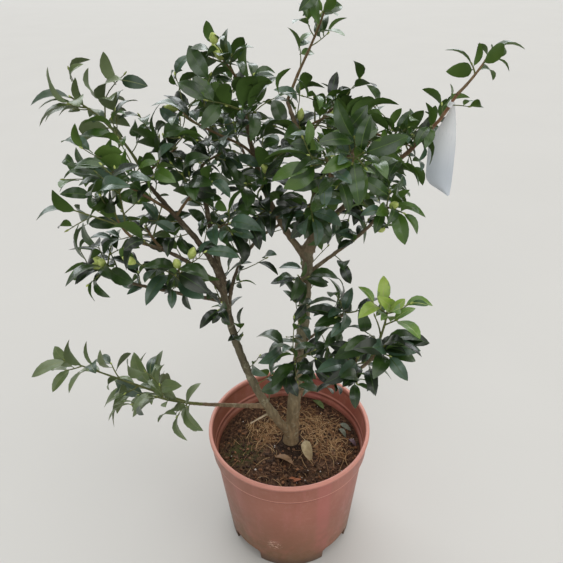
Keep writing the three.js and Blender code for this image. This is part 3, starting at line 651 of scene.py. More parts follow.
def spur_from(route, part, number):
    """A short twig off a route, drawn by number, and the share of it that is inside the limb."""
    points, radii = route
    root, ahead = along(points, part)
    kept, out = on_circle(between(*SPUR_SPREADS, number, 3))
    way = ahead * kept + turned(ahead, 360 * chance(number, 2)) * out
    way = unit(way + np.array([0, 0, TWIG_LIFT]))
    thick = radii[min(int(part * LIMB_STEPS), len(radii) - 1)]
    length = thick + between(*SPUR_LENGTHS, number, 4)
    return [root, root + way * length], thick / length


def spur_has_room(root, tip, sunk, masses, barriers):
    """Whether a spur is in reach, out of the gaps and clear of the limbs."""
    probes = [root + (tip - root) * (sunk + (1 - sunk) * part) for part in SPUR_PROBES]
    if is_in_gap(tip) or not is_in_reach(tip, masses):
        return False
    return gaps_to(barriers, probes).min() >= TWIG_CLEARANCE


def spur_hits_leaf(root, tip, sunk, near):
    start = root + (tip - root) * (sunk + SPUR_START)
    faces = np.concatenate([blade_faces(leaf["corners"]) for leaf in near])
    return any_cross(start[None], tip[None], faces)


def grow_spur(route, part, number, masses, barriers, twig_lines, leaves):
    """The numbered spur of a route with its leaves, or nothing where it has no room."""
    (root, tip), sunk = spur_from(route, part, number)
    if not spur_has_room(root, tip, sunk, masses, barriers):
        return None, []
    near = [leaf for leaf in leaves if np.linalg.norm(leaf["root"] - tip) < NEAR_LEAF]
    if near and spur_hits_leaf(root, tip, sunk, near):
        return None, []
    count = int(between(*SPUR_LEAVES, number, 5))
    spur = shoot_of(SPUR_KEY, [root, tip], sunk + (1 - sunk) * SPUR_BARE, count)
    spur.update(fine=True, seed=number)
    size = between(*SPUR_LEAF_SIZES, number, 6)
    grower = {"seed": number, "leaf": size, "droop": between(*SPUR_DROOPS, number, 7)}
    grown = []
    for j in range(count):
        leaf = first_that(
            lambda attempt: rolled(leaf_from(grower, spur, j, attempt)),
            lambda made: (
                is_in_reach(made["corners"][2], masses)
                and not is_in_gap(made["corners"][2])
                and leaf_is_clear(barriers, made)
                and not is_crossed(made["corners"], twig_lines, near + grown)
            ),
        )
        if leaf:
            grown.append(leaf)
    return (spur, grown) if len(grown) >= LEAST_LEAVES else (None, [])


def grow_masses(limbs):
    """Every mass with its stem, twigs and leaves, in the order of the source."""
    fixed = [line for limb in limbs.values() for line in lines_of(limb["points"], limb["radii"])]
    fixed_label = label_lines(limbs)
    masses = []
    for entry in MASS_ROWS:
        mass = named(MASS_COLUMNS, entry)
        start = along(limbs[mass["on"]]["points"], mass["at"])[0]
        mass["stem"] = walk(start, mass, STEM_STEPS)
        mass["lines"] = lines_of(mass["stem"], [STEM_RADIUS] * (STEM_STEPS + 1))
        mass["hub"] = along(mass["stem"], HUB_AT)[0]
        masses.append(mass)
    for mass in masses:
        mass["space"] = space_of(mass, masses)
        others = [line for other in masses if other is not mass for line in other["lines"]]
        barriers = barriers_from(fixed + others + fixed_label)
        mass["shoots"] = shoots_of(mass, barriers)
        mass["leaves_made"] = leaves_of(mass, mass["shoots"], barriers)
        mass["fine"] = []
    return masses


def roomy_tries(route, part, first, middles):
    """The numbers of the spurs that could grow at a place, the one with most room first."""
    tries = []
    for number in range(first, first + SPUR_TRIES):
        tip = spur_from(route, part, number)[0][1]
        room = np.linalg.norm(np.array(middles) - tip, axis=1).min()
        if room > LEAST_ROOM:
            tries.append((-room, number))
    return [number for _, number in sorted(tries)]


def add_spurs(limbs, masses):
    """Grows spurs along every limb, stem and twig, each where its leaves have most room.

    Each goes to the mass whose middle is nearest, whose colour it takes."""
    lines = [line for limb in limbs.values() for line in lines_of(limb["points"], limb["radii"])]
    lines += [line for mass in masses for line in mass["lines"]]
    barriers = barriers_from(lines + label_lines(limbs))
    side_twigs = [shoot for mass in masses for shoot in mass["shoots"] if shoot["key"] != STEM_KEY]
    starts, ends = twig_lines_of(side_twigs)
    leaves = [leaf for mass in masses for leaf in mass["leaves_made"]]
    middles = [leaf["corners"].mean(0) for leaf in leaves]
    for index, route in enumerate(spur_routes(limbs, masses)):
        length = np.linalg.norm(np.diff(np.array(route[0]), axis=0), axis=1).sum()
        for k in range(int(length * (LAST_SPUR_AT - FIRST_SPUR_AT) / SPUR_SPACING)):
            part = LAST_SPUR_AT - (k + SPUR_SHIFT * chance(index, k, 9)) * SPUR_SPACING / length
            first = ROUTE_NUMBERS * index + PLACE_NUMBERS * k
            for number in roomy_tries(route, part, first, middles):
                spur, grown = grow_spur(route, part, number, masses, barriers, (starts, ends), leaves)
                if spur:
                    root, tip = spur["points"]
                    leaves += grown
                    middles += [leaf["corners"].mean(0) for leaf in grown]
                    starts = np.concatenate([starts, root[None]])
                    ends = np.concatenate([ends, tip[None]])
                    nearest = min(masses, key=lambda mass: np.linalg.norm(mass["hub"] - tip))
                    nearest["leaves_made"] += grown
                    nearest["fine"].append(spur)
                    break


# Finishes

# Noises: stretch up the Z axis, size of the blots in mm, detail, roughness and swirl
NOISES = {
    "leaf blots": (1, 26, 3, 0.55),
    "leaf skin": (1, 3.0, 2, 0.55),
    "rib": (1, 8, 2, 0.55),
    "leaf back": (1, 18, 3, 0.55),
    "leaf back grain": (1, 1.6, 2, 0.55),
    "bark wander": (1, 60, 2, 0.55),
    "bark streaks": (0.22, 5, 5, 0.65),
    "lichen": (1, 12, 4, 0.6, 0.6),
    "bark wrinkles": (1.9, 2.4, 4, 0.7),
    "pot": (1, 90, 3, 0.55),
    "pot bands": (0.12, 26, 4, 0.6),
    "chalky bloom": (1, 14, 5, 0.7),
    "grime": (1, 38, 5, 0.62),
    "scuffs": (2.4, 7, 4, 0.7),
    "pot grain": (1, 1.8, 3, 0.55),
    "pot waves": (1, 60, 2, 0.55),
    "crumbly soil": (1, 5, 6, 0.75),
    "faint moss": (1, 55, 3, 0.55),
    "moss tufts": (1, 9, 4, 0.7),
    "label": (1, 40, 2, 0.55),
    "label scratches": (0.06, 2.2, 3, 0.6),
    "floor": (1, 500, 3, 0.55),
}
BLOT_EDGES = (0.35, 0.65)


def start_finish(name, roughness, specular=0.5):
    """A new finish: its node tree and shader, with the plain numbers set on the shader itself."""
    finish = bpy.data.materials.new(name)
    finish.use_nodes = True
    shader = finish.node_tree.nodes["Principled BSDF"]
    shader.inputs["Roughness"].default_value = roughness
    shader.inputs["Specular IOR Level"].default_value = specular
    return finish, finish.node_tree, shader


def feed(tree, node, sockets):
    """Links or sets a node's sockets, each given by its name or number."""
    for socket, source in sockets.items():
        if hasattr(source, "is_output"):
            tree.links.new(source, node.inputs[socket])
        else:
            node.inputs[socket].default_value = source


def fed(tree, kind, output, sockets):
    """What comes out of a new node that is fed with these sockets."""
    node = tree.nodes.new("ShaderNode" + kind)
    feed(tree, node, sockets)
    return node.outputs[output]


def colour(red, green, blue):
    """A colour given as it looks on a screen, from 0 to 255."""
    def linear(value):
        value = value / 255
        return value / 12.92 if value <= 0.04045 else ((value + 0.055) / 1.055) ** 2.4

    return (linear(red), linear(green), linear(blue), 1)


def scaled(shade, share):
    return [int(c * share) for c in shade]


def place(tree, stretch=1):
    """Object coordinates in metres, stretched up the Z axis."""
    coordinates = fed(tree, "TexCoord", "Object", {})
    return fed(tree, "Mapping", "Vector", {"Vector": coordinates, "Scale": (1, 1, stretch)})


def noise_over(tree, stretch, size_mm, detail, roughness, swirl=0.0):
    """Soft cloudy noise whose blots are about this size."""
    sockets = {"Vector": place(tree, stretch), "Scale": 1000 / size_mm, "Detail": detail}
    return fed(tree, "TexNoise", "Fac", {**sockets, "Roughness": roughness, "Distortion": swirl})


def cloud(tree, name):
    return noise_over(tree, *NOISES[name])


def cells(tree, stretch, size_mm):
    """How far each place is from the middle of its cell."""
    return fed(tree, "TexVoronoi", "Distance", {"Vector": place(tree, stretch), "Scale": 1000 / size_mm})


def steps(tree, source, *stops):
    """A colour ramp through stops of a place from 0 to 1 and a colour."""
    node = tree.nodes.new("ShaderNodeValToRGB")
    ramp = node.color_ramp
    while len(ramp.elements) < len(stops):
        ramp.elements.new(0.5)
    for element, (at, shade) in zip(ramp.elements, stops):
        element.position = at
        element.color = colour(*shade)
    feed(tree, node, {"Fac": source})
    return node.outputs["Color"]


def blend(tree, amount, first, second):
    """The first colour, turned to the second by an amount from 0 to 1."""
    node = tree.nodes.new("ShaderNodeMix")
    node.data_type = "RGBA"
    feed(tree, node, {0: amount, 6: first, 7: second})
    return node.outputs[2]


def sum_of(tree, kind, first, second=0.0, third_value=0.0):
    node = tree.nodes.new("ShaderNodeMath")
    node.operation = kind
    feed(tree, node, {0: first, 1: second, 2: third_value})
    return node.outputs[0]


def times(tree, first, second):
    return sum_of(tree, "MULTIPLY", first, second)


def parts_of(tree, where):
    """The separate X, Y and Z of a place."""
    node = tree.nodes.new("ShaderNodeSeparateXYZ")
    feed(tree, node, {"Vector": where})
    return node.outputs


def ramp_over(tree, source, low, high, start=0.0, end=1.0):
    """A value that goes from the start to the end while its source goes from low to high."""
    sockets = {"Value": source, "From Min": low, "From Max": high, "To Min": start, "To Max": end}
    return fed(tree, "MapRange", "Result", sockets)


def ramp_mm(tree, source, low_mm, high_mm, start=0.0, end=1.0):
    """The same for a source that is a length, with low and high in mm."""
    return ramp_over(tree, source, low_mm * MM, high_mm * MM, start, end)


def stain(tree, base, source, low, high, start, end, shade):
    """The base, turned to another shade as far as a source goes from low to high."""
    return blend(tree, ramp_over(tree, source, low, high, start, end), base, colour(*shade))


def mottled(tree, blots, deep, light):
    """Two shades in soft blots."""
    return stain(tree, colour(*deep), blots, *BLOT_EDGES, 0.0, 1.0, light)


def over(tree, base, amount, share, shade):
    """The base, turned to another shade by a share of an amount."""
    return blend(tree, times(tree, amount, share), base, colour(*shade))


def raise_by(tree, shader, height, depth_mm, strength):
    sockets = {"Height": height, "Distance": depth_mm * MM, "Strength": strength}
    feed(tree, shader, {"Normal": fed(tree, "Bump", "Normal", sockets)})


def near_spot(tree, spot_mm, inner_mm, outer_mm):
    """One within the inner distance of a spot, fading to nothing at the outer one."""
    node = tree.nodes.new("ShaderNodeVectorMath")
    node.operation = "DISTANCE"
    feed(tree, node, {0: place(tree), 1: tuple(value * MM for value in spot_mm)})
    return ramp_mm(tree, node.outputs["Value"], inner_mm, outer_mm, 1.0, 0.0)


def belt(tree, value, low_mm, high_mm, soft_mm):
    """One between two values, fading out over a soft width on both sides."""
    falling = ramp_mm(tree, value, high_mm, high_mm + soft_mm, 1.0, 0.0)
    return times(tree, ramp_mm(tree, value, low_mm - soft_mm, low_mm), falling)


# A leaf's side veins: how many, how they slope, how wide, how much paler and how deep they are
VEINS = 9.0
VEIN_SLOPE = -1.3
VEIN_WIDTH = 0.16
VEIN_SHOWS = 0.16
VEIN_PALER = 46
VEIN_SINKS = -0.6
SKIN_GRAIN = 0.5
COAT_ROUGHNESS = 0.19
RIB_DARKER = 0.8
BACK_DARKER = 0.7
BACK_GRAIN = 0.25

# How deep each relief is in mm, and how strongly it shows
LEAF_RELIEF = (0.3, 0.4)
BACK_RELIEF = (0.15, 0.4)
BARK_SKIN_RELIEF = (1.2, 0.8)
POT_RELIEF = (1.0, 0.5)
SOIL_RELIEF = (3.0, 0.9)
LABEL_RELIEF = (0.1, 0.3)
GRAIN_RELIEF = (0.2, 0.5)


def leaf_finish(name, deep, light, roughness, coat):
    """A waxy blade: cloudy green, faint side veins from the leaf's own map, and a glossy skin."""
    finish, tree, shader = start_finish(name, roughness)
    feed(tree, shader, {"Coat Weight": coat, "Coat Roughness": COAT_ROUGHNESS})
    own = tree.nodes.new("ShaderNodeUVMap")
    own.uv_map = "leaf"
    parts = parts_of(tree, own.outputs["UV"])
    across = sum_of(tree, "ABSOLUTE", sum_of(tree, "SUBTRACT", parts["X"], 0.5))
    run = sum_of(tree, "MULTIPLY_ADD", across, VEIN_SLOPE, parts["Y"])
    wave = sum_of(tree, "PINGPONG", times(tree, run, VEINS), 0.5)
    vein = ramp_over(tree, wave, 0.0, VEIN_WIDTH, 1.0, 0.0)
    paler = [min(255, c + VEIN_PALER) for c in light]
    tone = mottled(tree, cloud(tree, "leaf blots"), deep, light)
    feed(tree, shader, {"Base Color": over(tree, tone, vein, VEIN_SHOWS, paler)})
    fine = times(tree, cloud(tree, "leaf skin"), SKIN_GRAIN)
    raise_by(tree, shader, sum_of(tree, "ADD", times(tree, vein, VEIN_SINKS), fine), *LEAF_RELIEF)
    return finish


def vein_finish(name, shade):
    finish, tree, shader = start_finish(name, 0.42)
    tone = blend(tree, cloud(tree, "rib"), colour(*shade), colour(*scaled(shade, RIB_DARKER)))
    feed(tree, shader, {"Base Color": tone})
    return finish


def underside_finish(name, deep, light):
    """The dull, paler back of a leaf with a fine grain."""
    finish, tree, shader = start_finish(name, 0.62, 0.35)
    tone = blend(tree, cloud(tree, "leaf back"), colour(*deep), colour(*light))
    grain = cloud(tree, "leaf back grain")
    feed(tree, shader, {"Base Color": over(tree, tone, grain, BACK_GRAIN, scaled(deep, BACK_DARKER))})
    raise_by(tree, shader, grain, *BACK_RELIEF)
    return finish


# Bark. Each mark has the two values between which it sets in, how much it shows at each of them,
# and its shade. Distances and heights are in mm, and the cells' stretch comes before their size.
BARK_WANDERS = 160
# Painted shade on the limbs toward the left, from x -28 mm to -70 mm, setting in between heights of 280 and
# 340 mm
PAINTED_SHADE_LEFTWARD = (-28, -70, 0.0, 0.55)
PAINTED_SHADE_ABOVE = (280, 340)
LEFT_PAINTED_SHADE = (70, 60, 48)
OUTER_BARK = (150 * MM, 210 * MM, 0.0, 0.8, (158, 112, 82))
STREAKS = (0.35, 0.62, 0.5, 0.0, (48, 40, 30))
LICHEN = (0.56, 0.68, 0.0, 0.55)
SPECKS = (0.0, 0.28, 0.4, 0.0, (150, 138, 118))
SPECK_CELLS = (0.6, 2.6)
BARE_WOOD_NEAR = (24, 33)
BARE_WOOD = (0.8, (206, 186, 158))
STREAK_RELIEF = 0.8
WRINKLE_RELIEF = 0.6


def bark_finish(name, low, middle, high, lichen, low_at, high_at, pale_end=None):
    """Bark that changes up the stem, with painted shade on the upper limbs to the left, stretched streaks,
    small pits and pale lichen blots.

    Near the pale end, a bleached broken stub, it is bare wood."""
    finish, tree, shader = start_finish(name, 0.82, 0.3)
    sides = parts_of(tree, place(tree))
    wide = cloud(tree, "bark wander")
    wander = sum_of(tree, "MULTIPLY_ADD", wide, BARK_WANDERS * MM, -BARK_WANDERS * MM / 2)
    part = ramp_mm(tree, sum_of(tree, "ADD", sides["Z"], wander), low_at, high_at)
    tone = steps(tree, part, (0.0, low), (0.5, middle), (1.0, high))
    # Painted shade on the upper limbs toward the left
    upper_left_shade = ramp_mm(tree, sides["X"], *PAINTED_SHADE_LEFTWARD)
    tone = over(tree, tone, upper_left_shade, ramp_mm(tree, sides["Z"], *PAINTED_SHADE_ABOVE), LEFT_PAINTED_SHADE)
    tone = stain(tree, tone, sides["X"], *OUTER_BARK)
    streak = cloud(tree, "bark streaks")
    tone = stain(tree, tone, streak, *STREAKS)
    tone = stain(tree, tone, cloud(tree, "lichen"), *LICHEN, lichen)
    tone = stain(tree, tone, cells(tree, *SPECK_CELLS), *SPECKS)
    if pale_end is not None:
        tone = over(tree, tone, near_spot(tree, pale_end, *BARE_WOOD_NEAR), *BARE_WOOD)
    feed(tree, shader, {"Base Color": tone})
    wrinkle = times(tree, cloud(tree, "bark wrinkles"), WRINKLE_RELIEF)
    relief = sum_of(tree, "ADD", times(tree, streak, STREAK_RELIEF), wrinkle)
    raise_by(tree, shader, relief, *BARK_SKIN_RELIEF)
    return finish


# The pot's marks, given like the bark's. A belt has its two edges and how soft they are, in mm.
POT_DEEP = (156, 92, 76)
POT_LIGHT = (170, 106, 90)
PINK_BANDS = (0.52, 0.66, 0.0, 0.5, (188, 116, 110))
CHALK = (0.5, 0.75, 0.0, 0.35, (196, 150, 138))
# Painted highlight: an upright pale pink band of sheen, between two x values in mm with its soft width,
# then its share and colour
SHEEN_BAND_AT = (46, 62, 6)
PAINTED_SHEEN_BAND = (0.45, (186, 104, 100))
GRIME_LOW = (0, 150, 1.0, 0.0)
# Painted shade: the pot turns browner and darker toward its left side at every height, from x -120 mm to 90
# mm
POT_LEFT_SHADE_SPAN = (-120, 90, 0.4, 0.0)
GRIME_PATCHES = (0.24, 0.54)
GRIME_SHARE = 0.95
GRIME_AND_SHADE_BROWN = (120, 86, 58)
FOOT_RAGGED = 30 * MM
# Darker and browner toward the foot, below 16 to 42 mm, with a ragged edge
DARKER_FOOT = (16 * MM, 42 * MM, 0.85, 0.0, (72, 52, 40))
SCUFF_EDGES = (0.52, 0.6)
RUBBED_SPOT = ((-31, -117, 66), 7, 17)
RUBBED_SHADE = (222, 186, 168)
# Painted shade: thin dark lines under the band's step and under the lip, between two heights in mm with
# their soft width
CREASE_SHADE_AT = ((198.5, 201.5, 1.5), (234.5, 236.5, 1.5))
PAINTED_CREASE_SHADE = (0.5, (104, 58, 48))
# Painted highlight: a pale pink lip top above one height, and a pale line on the band's edge, in mm
LIP_HIGHLIGHT_AT = (238, 242)
BAND_EDGE_HIGHLIGHT_AT = (204, 206, 2)
PAINTED_EDGE_HIGHLIGHT = (0.62, (232, 164, 148))
POT_SHEEN = (0.3, 0.7, 0.34, 0.56)
POT_GRAIN = 0.12


def pot_finish():
    """Thin brick-red plastic: chalky blooms, rubbed pale marks, brown grime near the foot, a darker foot,
    painted shade toward the left and under the step and lip, and painted highlights on the lip, the band's
    edge and an upright band.
    """
    finish, tree, shader = start_finish("brick_red_plastic", 0.5, 0.42)
    sides = parts_of(tree, place(tree))
    rise = sides["Z"]
    tone = mottled(tree, cloud(tree, "pot"), POT_DEEP, POT_LIGHT)
    tone = stain(tree, tone, cloud(tree, "pot bands"), *PINK_BANDS)
    bloom = cloud(tree, "chalky bloom")
    tone = stain(tree, tone, bloom, *CHALK)
    # Painted highlight: the upright band of sheen
    tone = over(tree, tone, belt(tree, sides["X"], *SHEEN_BAND_AT), *PAINTED_SHEEN_BAND)
    patch = cloud(tree, "grime")
    patches = times(tree, ramp_mm(tree, rise, *GRIME_LOW), ramp_over(tree, patch, *GRIME_PATCHES))
    # Brown grime patches low down, with painted shade toward the left side in the same brown
    pot_left_shade = ramp_mm(tree, sides["X"], *POT_LEFT_SHADE_SPAN)
    grime_and_left_shade = sum_of(tree, "MULTIPLY_ADD", patches, GRIME_SHARE, pot_left_shade)
    tone = blend(tree, grime_and_left_shade, tone, colour(*GRIME_AND_SHADE_BROWN))
    # Darker toward the foot
    tone = stain(tree, tone, sum_of(tree, "MULTIPLY_ADD", patch, FOOT_RAGGED, rise), *DARKER_FOOT)
    rubbed = ramp_over(tree, cloud(tree, "scuffs"), *SCUFF_EDGES)
    tone = over(tree, tone, rubbed, near_spot(tree, *RUBBED_SPOT), RUBBED_SHADE)
    # Painted shade in the creases under the step and the lip
    crease_shade = sum_of(tree, "MAXIMUM", *[belt(tree, rise, *line) for line in CREASE_SHADE_AT])
    tone = over(tree, tone, crease_shade, *PAINTED_CREASE_SHADE)
    # Painted highlight on the lip and on the band's edge
    edge_highlight = sum_of(tree, "MAXIMUM", ramp_mm(tree, rise, *LIP_HIGHLIGHT_AT), belt(tree, rise, *BAND_EDGE_HIGHLIGHT_AT))
    tone = over(tree, tone, edge_highlight, *PAINTED_EDGE_HIGHLIGHT)
    feed(tree, shader, {"Base Color": tone, "Roughness": ramp_over(tree, bloom, *POT_SHEEN)})
    relief = sum_of(tree, "MULTIPLY_ADD", cloud(tree, "pot grain"), POT_GRAIN, cloud(tree, "pot waves"))
    raise_by(tree, shader, relief, *POT_RELIEF)
    return finish


# The soil's marks. A spot has its place, and how far it reaches whole and at all, in mm.
SOIL_STEPS = ((0.32, (34, 25, 20)), (0.5, (84, 60, 45)), (0.68, (132, 100, 76)))
FAINT_MOSS = (0.55, 0.72, 0.0, 0.3, (74, 74, 42))
MOSS_SPOT = ((-84, -18, 190), 18, 46)
MOSS_TUFTS = (0.4, 0.55)
MOSS = (0.6, (66, 84, 40))
# Dark spots near the trunk's foot
DARK_SPOTS_NEAR_TRUNK = (((8, -30, 195), 8, 24), ((3, -6, 201), 24, 38))
SPOT_DARKENING = (0.7, (26, 21, 18))


def soil_finish():
    finish, tree, shader = start_finish("damp_potting_soil", 0.92, 0.25)
    crumb = cloud(tree, "crumbly soil")
    tone = steps(tree, crumb, *SOIL_STEPS)
    tone = stain(tree, tone, cloud(tree, "faint moss"), *FAINT_MOSS)
    tufts = ramp_over(tree, cloud(tree, "moss tufts"), *MOSS_TUFTS)
    tone = over(tree, tone, times(tree, near_spot(tree, *MOSS_SPOT), tufts), *MOSS)
    darker_spots = sum_of(tree, "MAXIMUM", *[near_spot(tree, *spot) for spot in DARK_SPOTS_NEAR_TRUNK])
    feed(tree, shader, {"Base Color": over(tree, tone, darker_spots, *SPOT_DARKENING)})
    raise_by(tree, shader, crumb, *SOIL_RELIEF)
    return finish


def grain_finish(name, dark, light, size_mm, roughness=0.85):
    """A plain rough finish with two blended shades and a matching grain."""
    finish, tree, shader = start_finish(name, roughness, 0.3)
    grain = noise_over(tree, 1, size_mm, 4, 0.6)
    depth, strength = GRAIN_RELIEF
    feed(tree, shader, {"Base Color": mottled(tree, grain, dark, light)})
    raise_by(tree, shader, grain, size_mm * depth, strength)
    return finish


LABEL_DEEP = (240, 242, 247)
LABEL_LIGHT = (250, 251, 253)
LABEL_PAINTED_SHADE = (LABEL_DIM_FROM * MM, LABEL_DIM_TO * MM, 0.0, 0.8, (200, 208, 218))
SCRATCHES = (0.58, 0.7, 0.0, 0.25, (198, 202, 210))


def label_finish():
    """Matt white film, a little grey and blue, with soft clouding, fine scratches and painted shade that
    dims its lower part.
    """
    finish, tree, shader = start_finish("white_label_film", 0.38)
    tone = blend(tree, cloud(tree, "label"), colour(*LABEL_DEEP), colour(*LABEL_LIGHT))
    # Painted shade: the lower part turns dimmer and bluer
    tone = stain(tree, tone, parts_of(tree, place(tree))["Z"], *LABEL_PAINTED_SHADE)
    scratch = cloud(tree, "label scratches")
    feed(tree, shader, {"Base Color": stain(tree, tone, scratch, *SCRATCHES)})
    raise_by(tree, shader, scratch, *LABEL_RELIEF)
    return finish


FLOOR_SHADE = (206, 204, 200)
FLOOR_LIGHTER = 4


def floor_finish():
    finish, tree, shader = start_finish("pale_floor", 1.0, 0.0)
    lighter = [c + FLOOR_LIGHTER for c in FLOOR_SHADE]
    tone = blend(tree, cloud(tree, "floor"), colour(*FLOOR_SHADE), colour(*lighter))
    feed(tree, shader, {"Base Color": tone})
    return finish


# Joined small forms


class Gathered:
    """Many small closed forms, joined into one piece. Places are in millimetres."""

    def __init__(self, finishes):
        self.finishes = finishes
        self.corners = []
        self.faces = []
        self.slots = []
        self.maps = []

    def add(self, corners, faces, slots, maps=None):
        first = len(self.corners)
        self.corners.extend(tuple(corner) for corner in corners)
        self.faces.extend([first + k for k in face] for face in faces)
        self.slots.extend([slots] * len(faces) if isinstance(slots, int) else slots)
        self.maps.extend(maps if maps is not None else [(0.5, 0.5)] * len(corners))

    def piece(self, name, smooth, map_name=None):
        mesh = bpy.data.meshes.new(name)
        mesh.from_pydata([tuple(c * MM for c in corner) for corner in self.corners], [], self.faces)
        for finish in self.finishes:
            mesh.materials.append(finish)
        mesh.polygons.foreach_set("material_index", self.slots)
        if map_name:
            layer = mesh.uv_layers.new(name=map_name)
            spots = np.array(self.maps)[[loop.vertex_index for loop in mesh.loops]]
            layer.data.foreach_set("uv", spots.ravel())
        mesh.validate()
        made = bpy.data.objects.new(name, mesh)
        bpy.context.collection.objects.link(made)
        smooth_over(made, smooth)
        return made


def pick(*pieces):
    """Selects only these pieces, the first of them active."""
    bpy.ops.object.select_all(action="DESELECT")
    for piece in pieces:
        piece.select_set(True)
    bpy.context.view_layer.objects.active = pieces[0]


def smooth_over(piece, angle):
    pick(piece)
    bpy.ops.object.shade_smooth_by_angle(angle=math.radians(angle))


def apply_all(piece):
    pick(piece)
    for change in list(piece.modifiers):
        bpy.ops.object.modifier_apply(modifier=change.name)


def apply_transform():
    bpy.ops.object.transform_apply(location=True, rotation=True, scale=True)


def named_piece(name):
    """The piece just made, under its own name."""
    piece = bpy.context.object
    piece.name = name
    piece.data.name = name
    return piece


def dressed(piece, finish, smooth):
    """The piece in one finish, smooth where its faces meet at less than an angle."""
    piece.data.materials.clear()
    piece.data.materials.append(finish)
    smooth_over(piece, smooth)
    return piece


def face_outward(piece):
    pick(piece)
    bpy.ops.object.mode_set(mode="EDIT")
    bpy.ops.mesh.select_all(action="SELECT")
    bpy.ops.mesh.normals_make_consistent(inside=False)
    bpy.ops.object.mode_set(mode="OBJECT")


def curved(points, count):
    """A smooth route through the points, with this many stretches between each two."""
    points = [np.array(point, float) for point in points]
    padded = [2 * points[0] - points[1], *points, 2 * points[-1] - points[-2]]
    route = []
    for k in range(1, len(padded) - 2):
        a, b, c, d = padded[k - 1:k + 3]
        for step in range(count):
            t = step / count
            bent = (c - a) * t + (2 * a - 5 * b + 4 * c - d) * t * t + (3 * b - a - 3 * c + d) * t ** 3
            route.append(0.5 * (2 * b + bent))
    return route + [points[-1]]


def quads_between(rings, sides):
    """The faces between each ring of corners and the next one."""
    faces = []
    for first in range(0, (rings - 1) * sides, sides):
        for s in range(sides):
            a = first + s
            b = first + (s + 1) % sides
            faces.append([a, b, b + sides, a + sides])
    return faces


def ring_round(middle, side, up, radii, turn=0.0):
    """Corners in a ring round a middle, at these radii."""
    ring = []
    for s, radius in enumerate(radii):
        angle = 2 * math.pi * (s + turn) / len(radii)
        ring.append(middle + side * (radius * math.cos(angle)) - up * (radius * math.sin(angle)))
    return ring


def tube_rings(points, radii, sides):
    """The corners and faces of a closed tapering tube, its rings carried on without twist."""
    last = len(points) - 1
    corners = []
    side = None
    for k, point in enumerate(points):
        axis = unit(points[min(k + 1, last)] - points[max(k - 1, 0)])
        side = side_of(axis) if side is None else squared_to(side, axis)
        corners += ring_round(point, side, np.cross(side, axis), [radii[k]] * sides)
    foot = list(range(sides))[::-1]
    top = [last * sides + s for s in range(sides)]
    return corners, quads_between(last + 1, sides) + [foot, top]


# Trunk and boughs

ROUTE_STEPS = 5
STOUTER = {"trunk": 1.0, "second_stem": 1.0, "low_left_bough": 1.4}
BOUGHS_STOUTER = 1.08
COLLAR = 0.35
COLLAR_LENGTH = 9
RADIUS_VARIES = 0.07
SCAR_EVERY = 6
SCAR_AT = 4
SCAR_SWELLS = 1.07
WANDER = 0.09
STUB_STEPS = 4
STUB_COLLAR = 1.5
TRUNK_SUNK = 7
TRUNK_FOOT_WIDER = 3
STEM_SIDES = 24
BOUGH_SIDES = 12

# The size of the melted skin's cells, and the size and depth of each layer of relief
BARK_VOXEL = 1.05
BARK_RELIEF = [(14, 1.1), (3.5, 0.55)]
BOUGH_VOXEL = 1.15
BOUGH_RELIEF = [(9, 0.5), (3, 0.25)]
BARK_SMOOTH = 60


def stub_walk(limbs, entry):
    """A stub's own row and its route from the limb that it broke off."""
    stub = named(LIMB_COLUMNS, entry)
    start = along(limbs[stub["on"]]["points"], stub["at"])[0]
    return stub, walk(start, stub, STUB_STEPS)


def limb_route(limb):
    """A limb's smooth route with its radii: it wanders a little and swells at its leaf scars."""
    route = curved(limb["points"], ROUTE_STEPS)
    key = len(limb["name"]) * 31 + int(limb["length"])
    count = len(route) - 1
    radii = []
    for k, point in enumerate(route):
        part = k / count
        radius = radius_at(limb, part) * STOUTER.get(limb["name"], BOUGHS_STOUTER)
        if limb["on"] is None:
            radius += 0.5 * FLARE * math.exp((TRUNK_FOOT[2] - point[2]) / FLARE_HEIGHT)
        else:
            radius += COLLAR * limb["thick"] * math.exp(-part * limb["length"] / COLLAR_LENGTH)
        radius *= 1 + RADIUS_VARIES * (chance(key, k) - 0.5)
        radii.append(radius * (SCAR_SWELLS if k % SCAR_EVERY == SCAR_AT else 1))
        if 0 < k < count:
            drawn = np.array([chance(key, k, n) for n in (1, 2, 3)])
            route[k] = point + WANDER * limb["thick"] * (drawn - 0.5)
    return route, radii


def limb_tube(name, route, radii, sides):
    """A curve through the route, given its thickness, closed at both ends and made a mesh."""
    bpy.ops.object.select_all(action="DESELECT")
    bpy.ops.curve.primitive_nurbs_path_add(location=(0, 0, 0))
    curve = named_piece(name + "_tube").data
    curve.splines.clear()
    spline = curve.splines.new("POLY")
    spline.points.add(len(route) - 1)
    for point, spot, radius in zip(spline.points, route, radii):
        point.co = (*(spot * MM), 1)
        point.radius = radius
    curve.bevel_depth = MM
    curve.bevel_resolution = sides // 4
    curve.use_fill_caps = True
    curve.use_path = False
    bpy.ops.object.convert(target="MESH")
    return bpy.context.object


def fused(name, tubes, voxel, relief, finish):
    """Joins tubes, melts them into one skin, evens it and gives it the bark's relief."""
    pick(*tubes)
    bpy.ops.object.join()
    piece = named_piece(name)
    skin = piece.modifiers.new("skin", "REMESH")
    skin.mode = "VOXEL"
    skin.voxel_size = voxel * MM
    even = piece.modifiers.new("even", "SMOOTH")
    even.factor = 0.5
    even.iterations = 3
    for size, depth in relief:
        texture = bpy.data.textures.new(name + "_relief", "CLOUDS")
        texture.noise_scale = size * MM
        texture.noise_depth = 2
        bark = piece.modifiers.new("relief", "DISPLACE")
        bark.texture = texture
        bark.texture_coords = "LOCAL"
        bark.strength = depth * MM
        bark.mid_level = 0.5
    apply_all(piece)
    return dressed(piece, finish, BARK_SMOOTH)


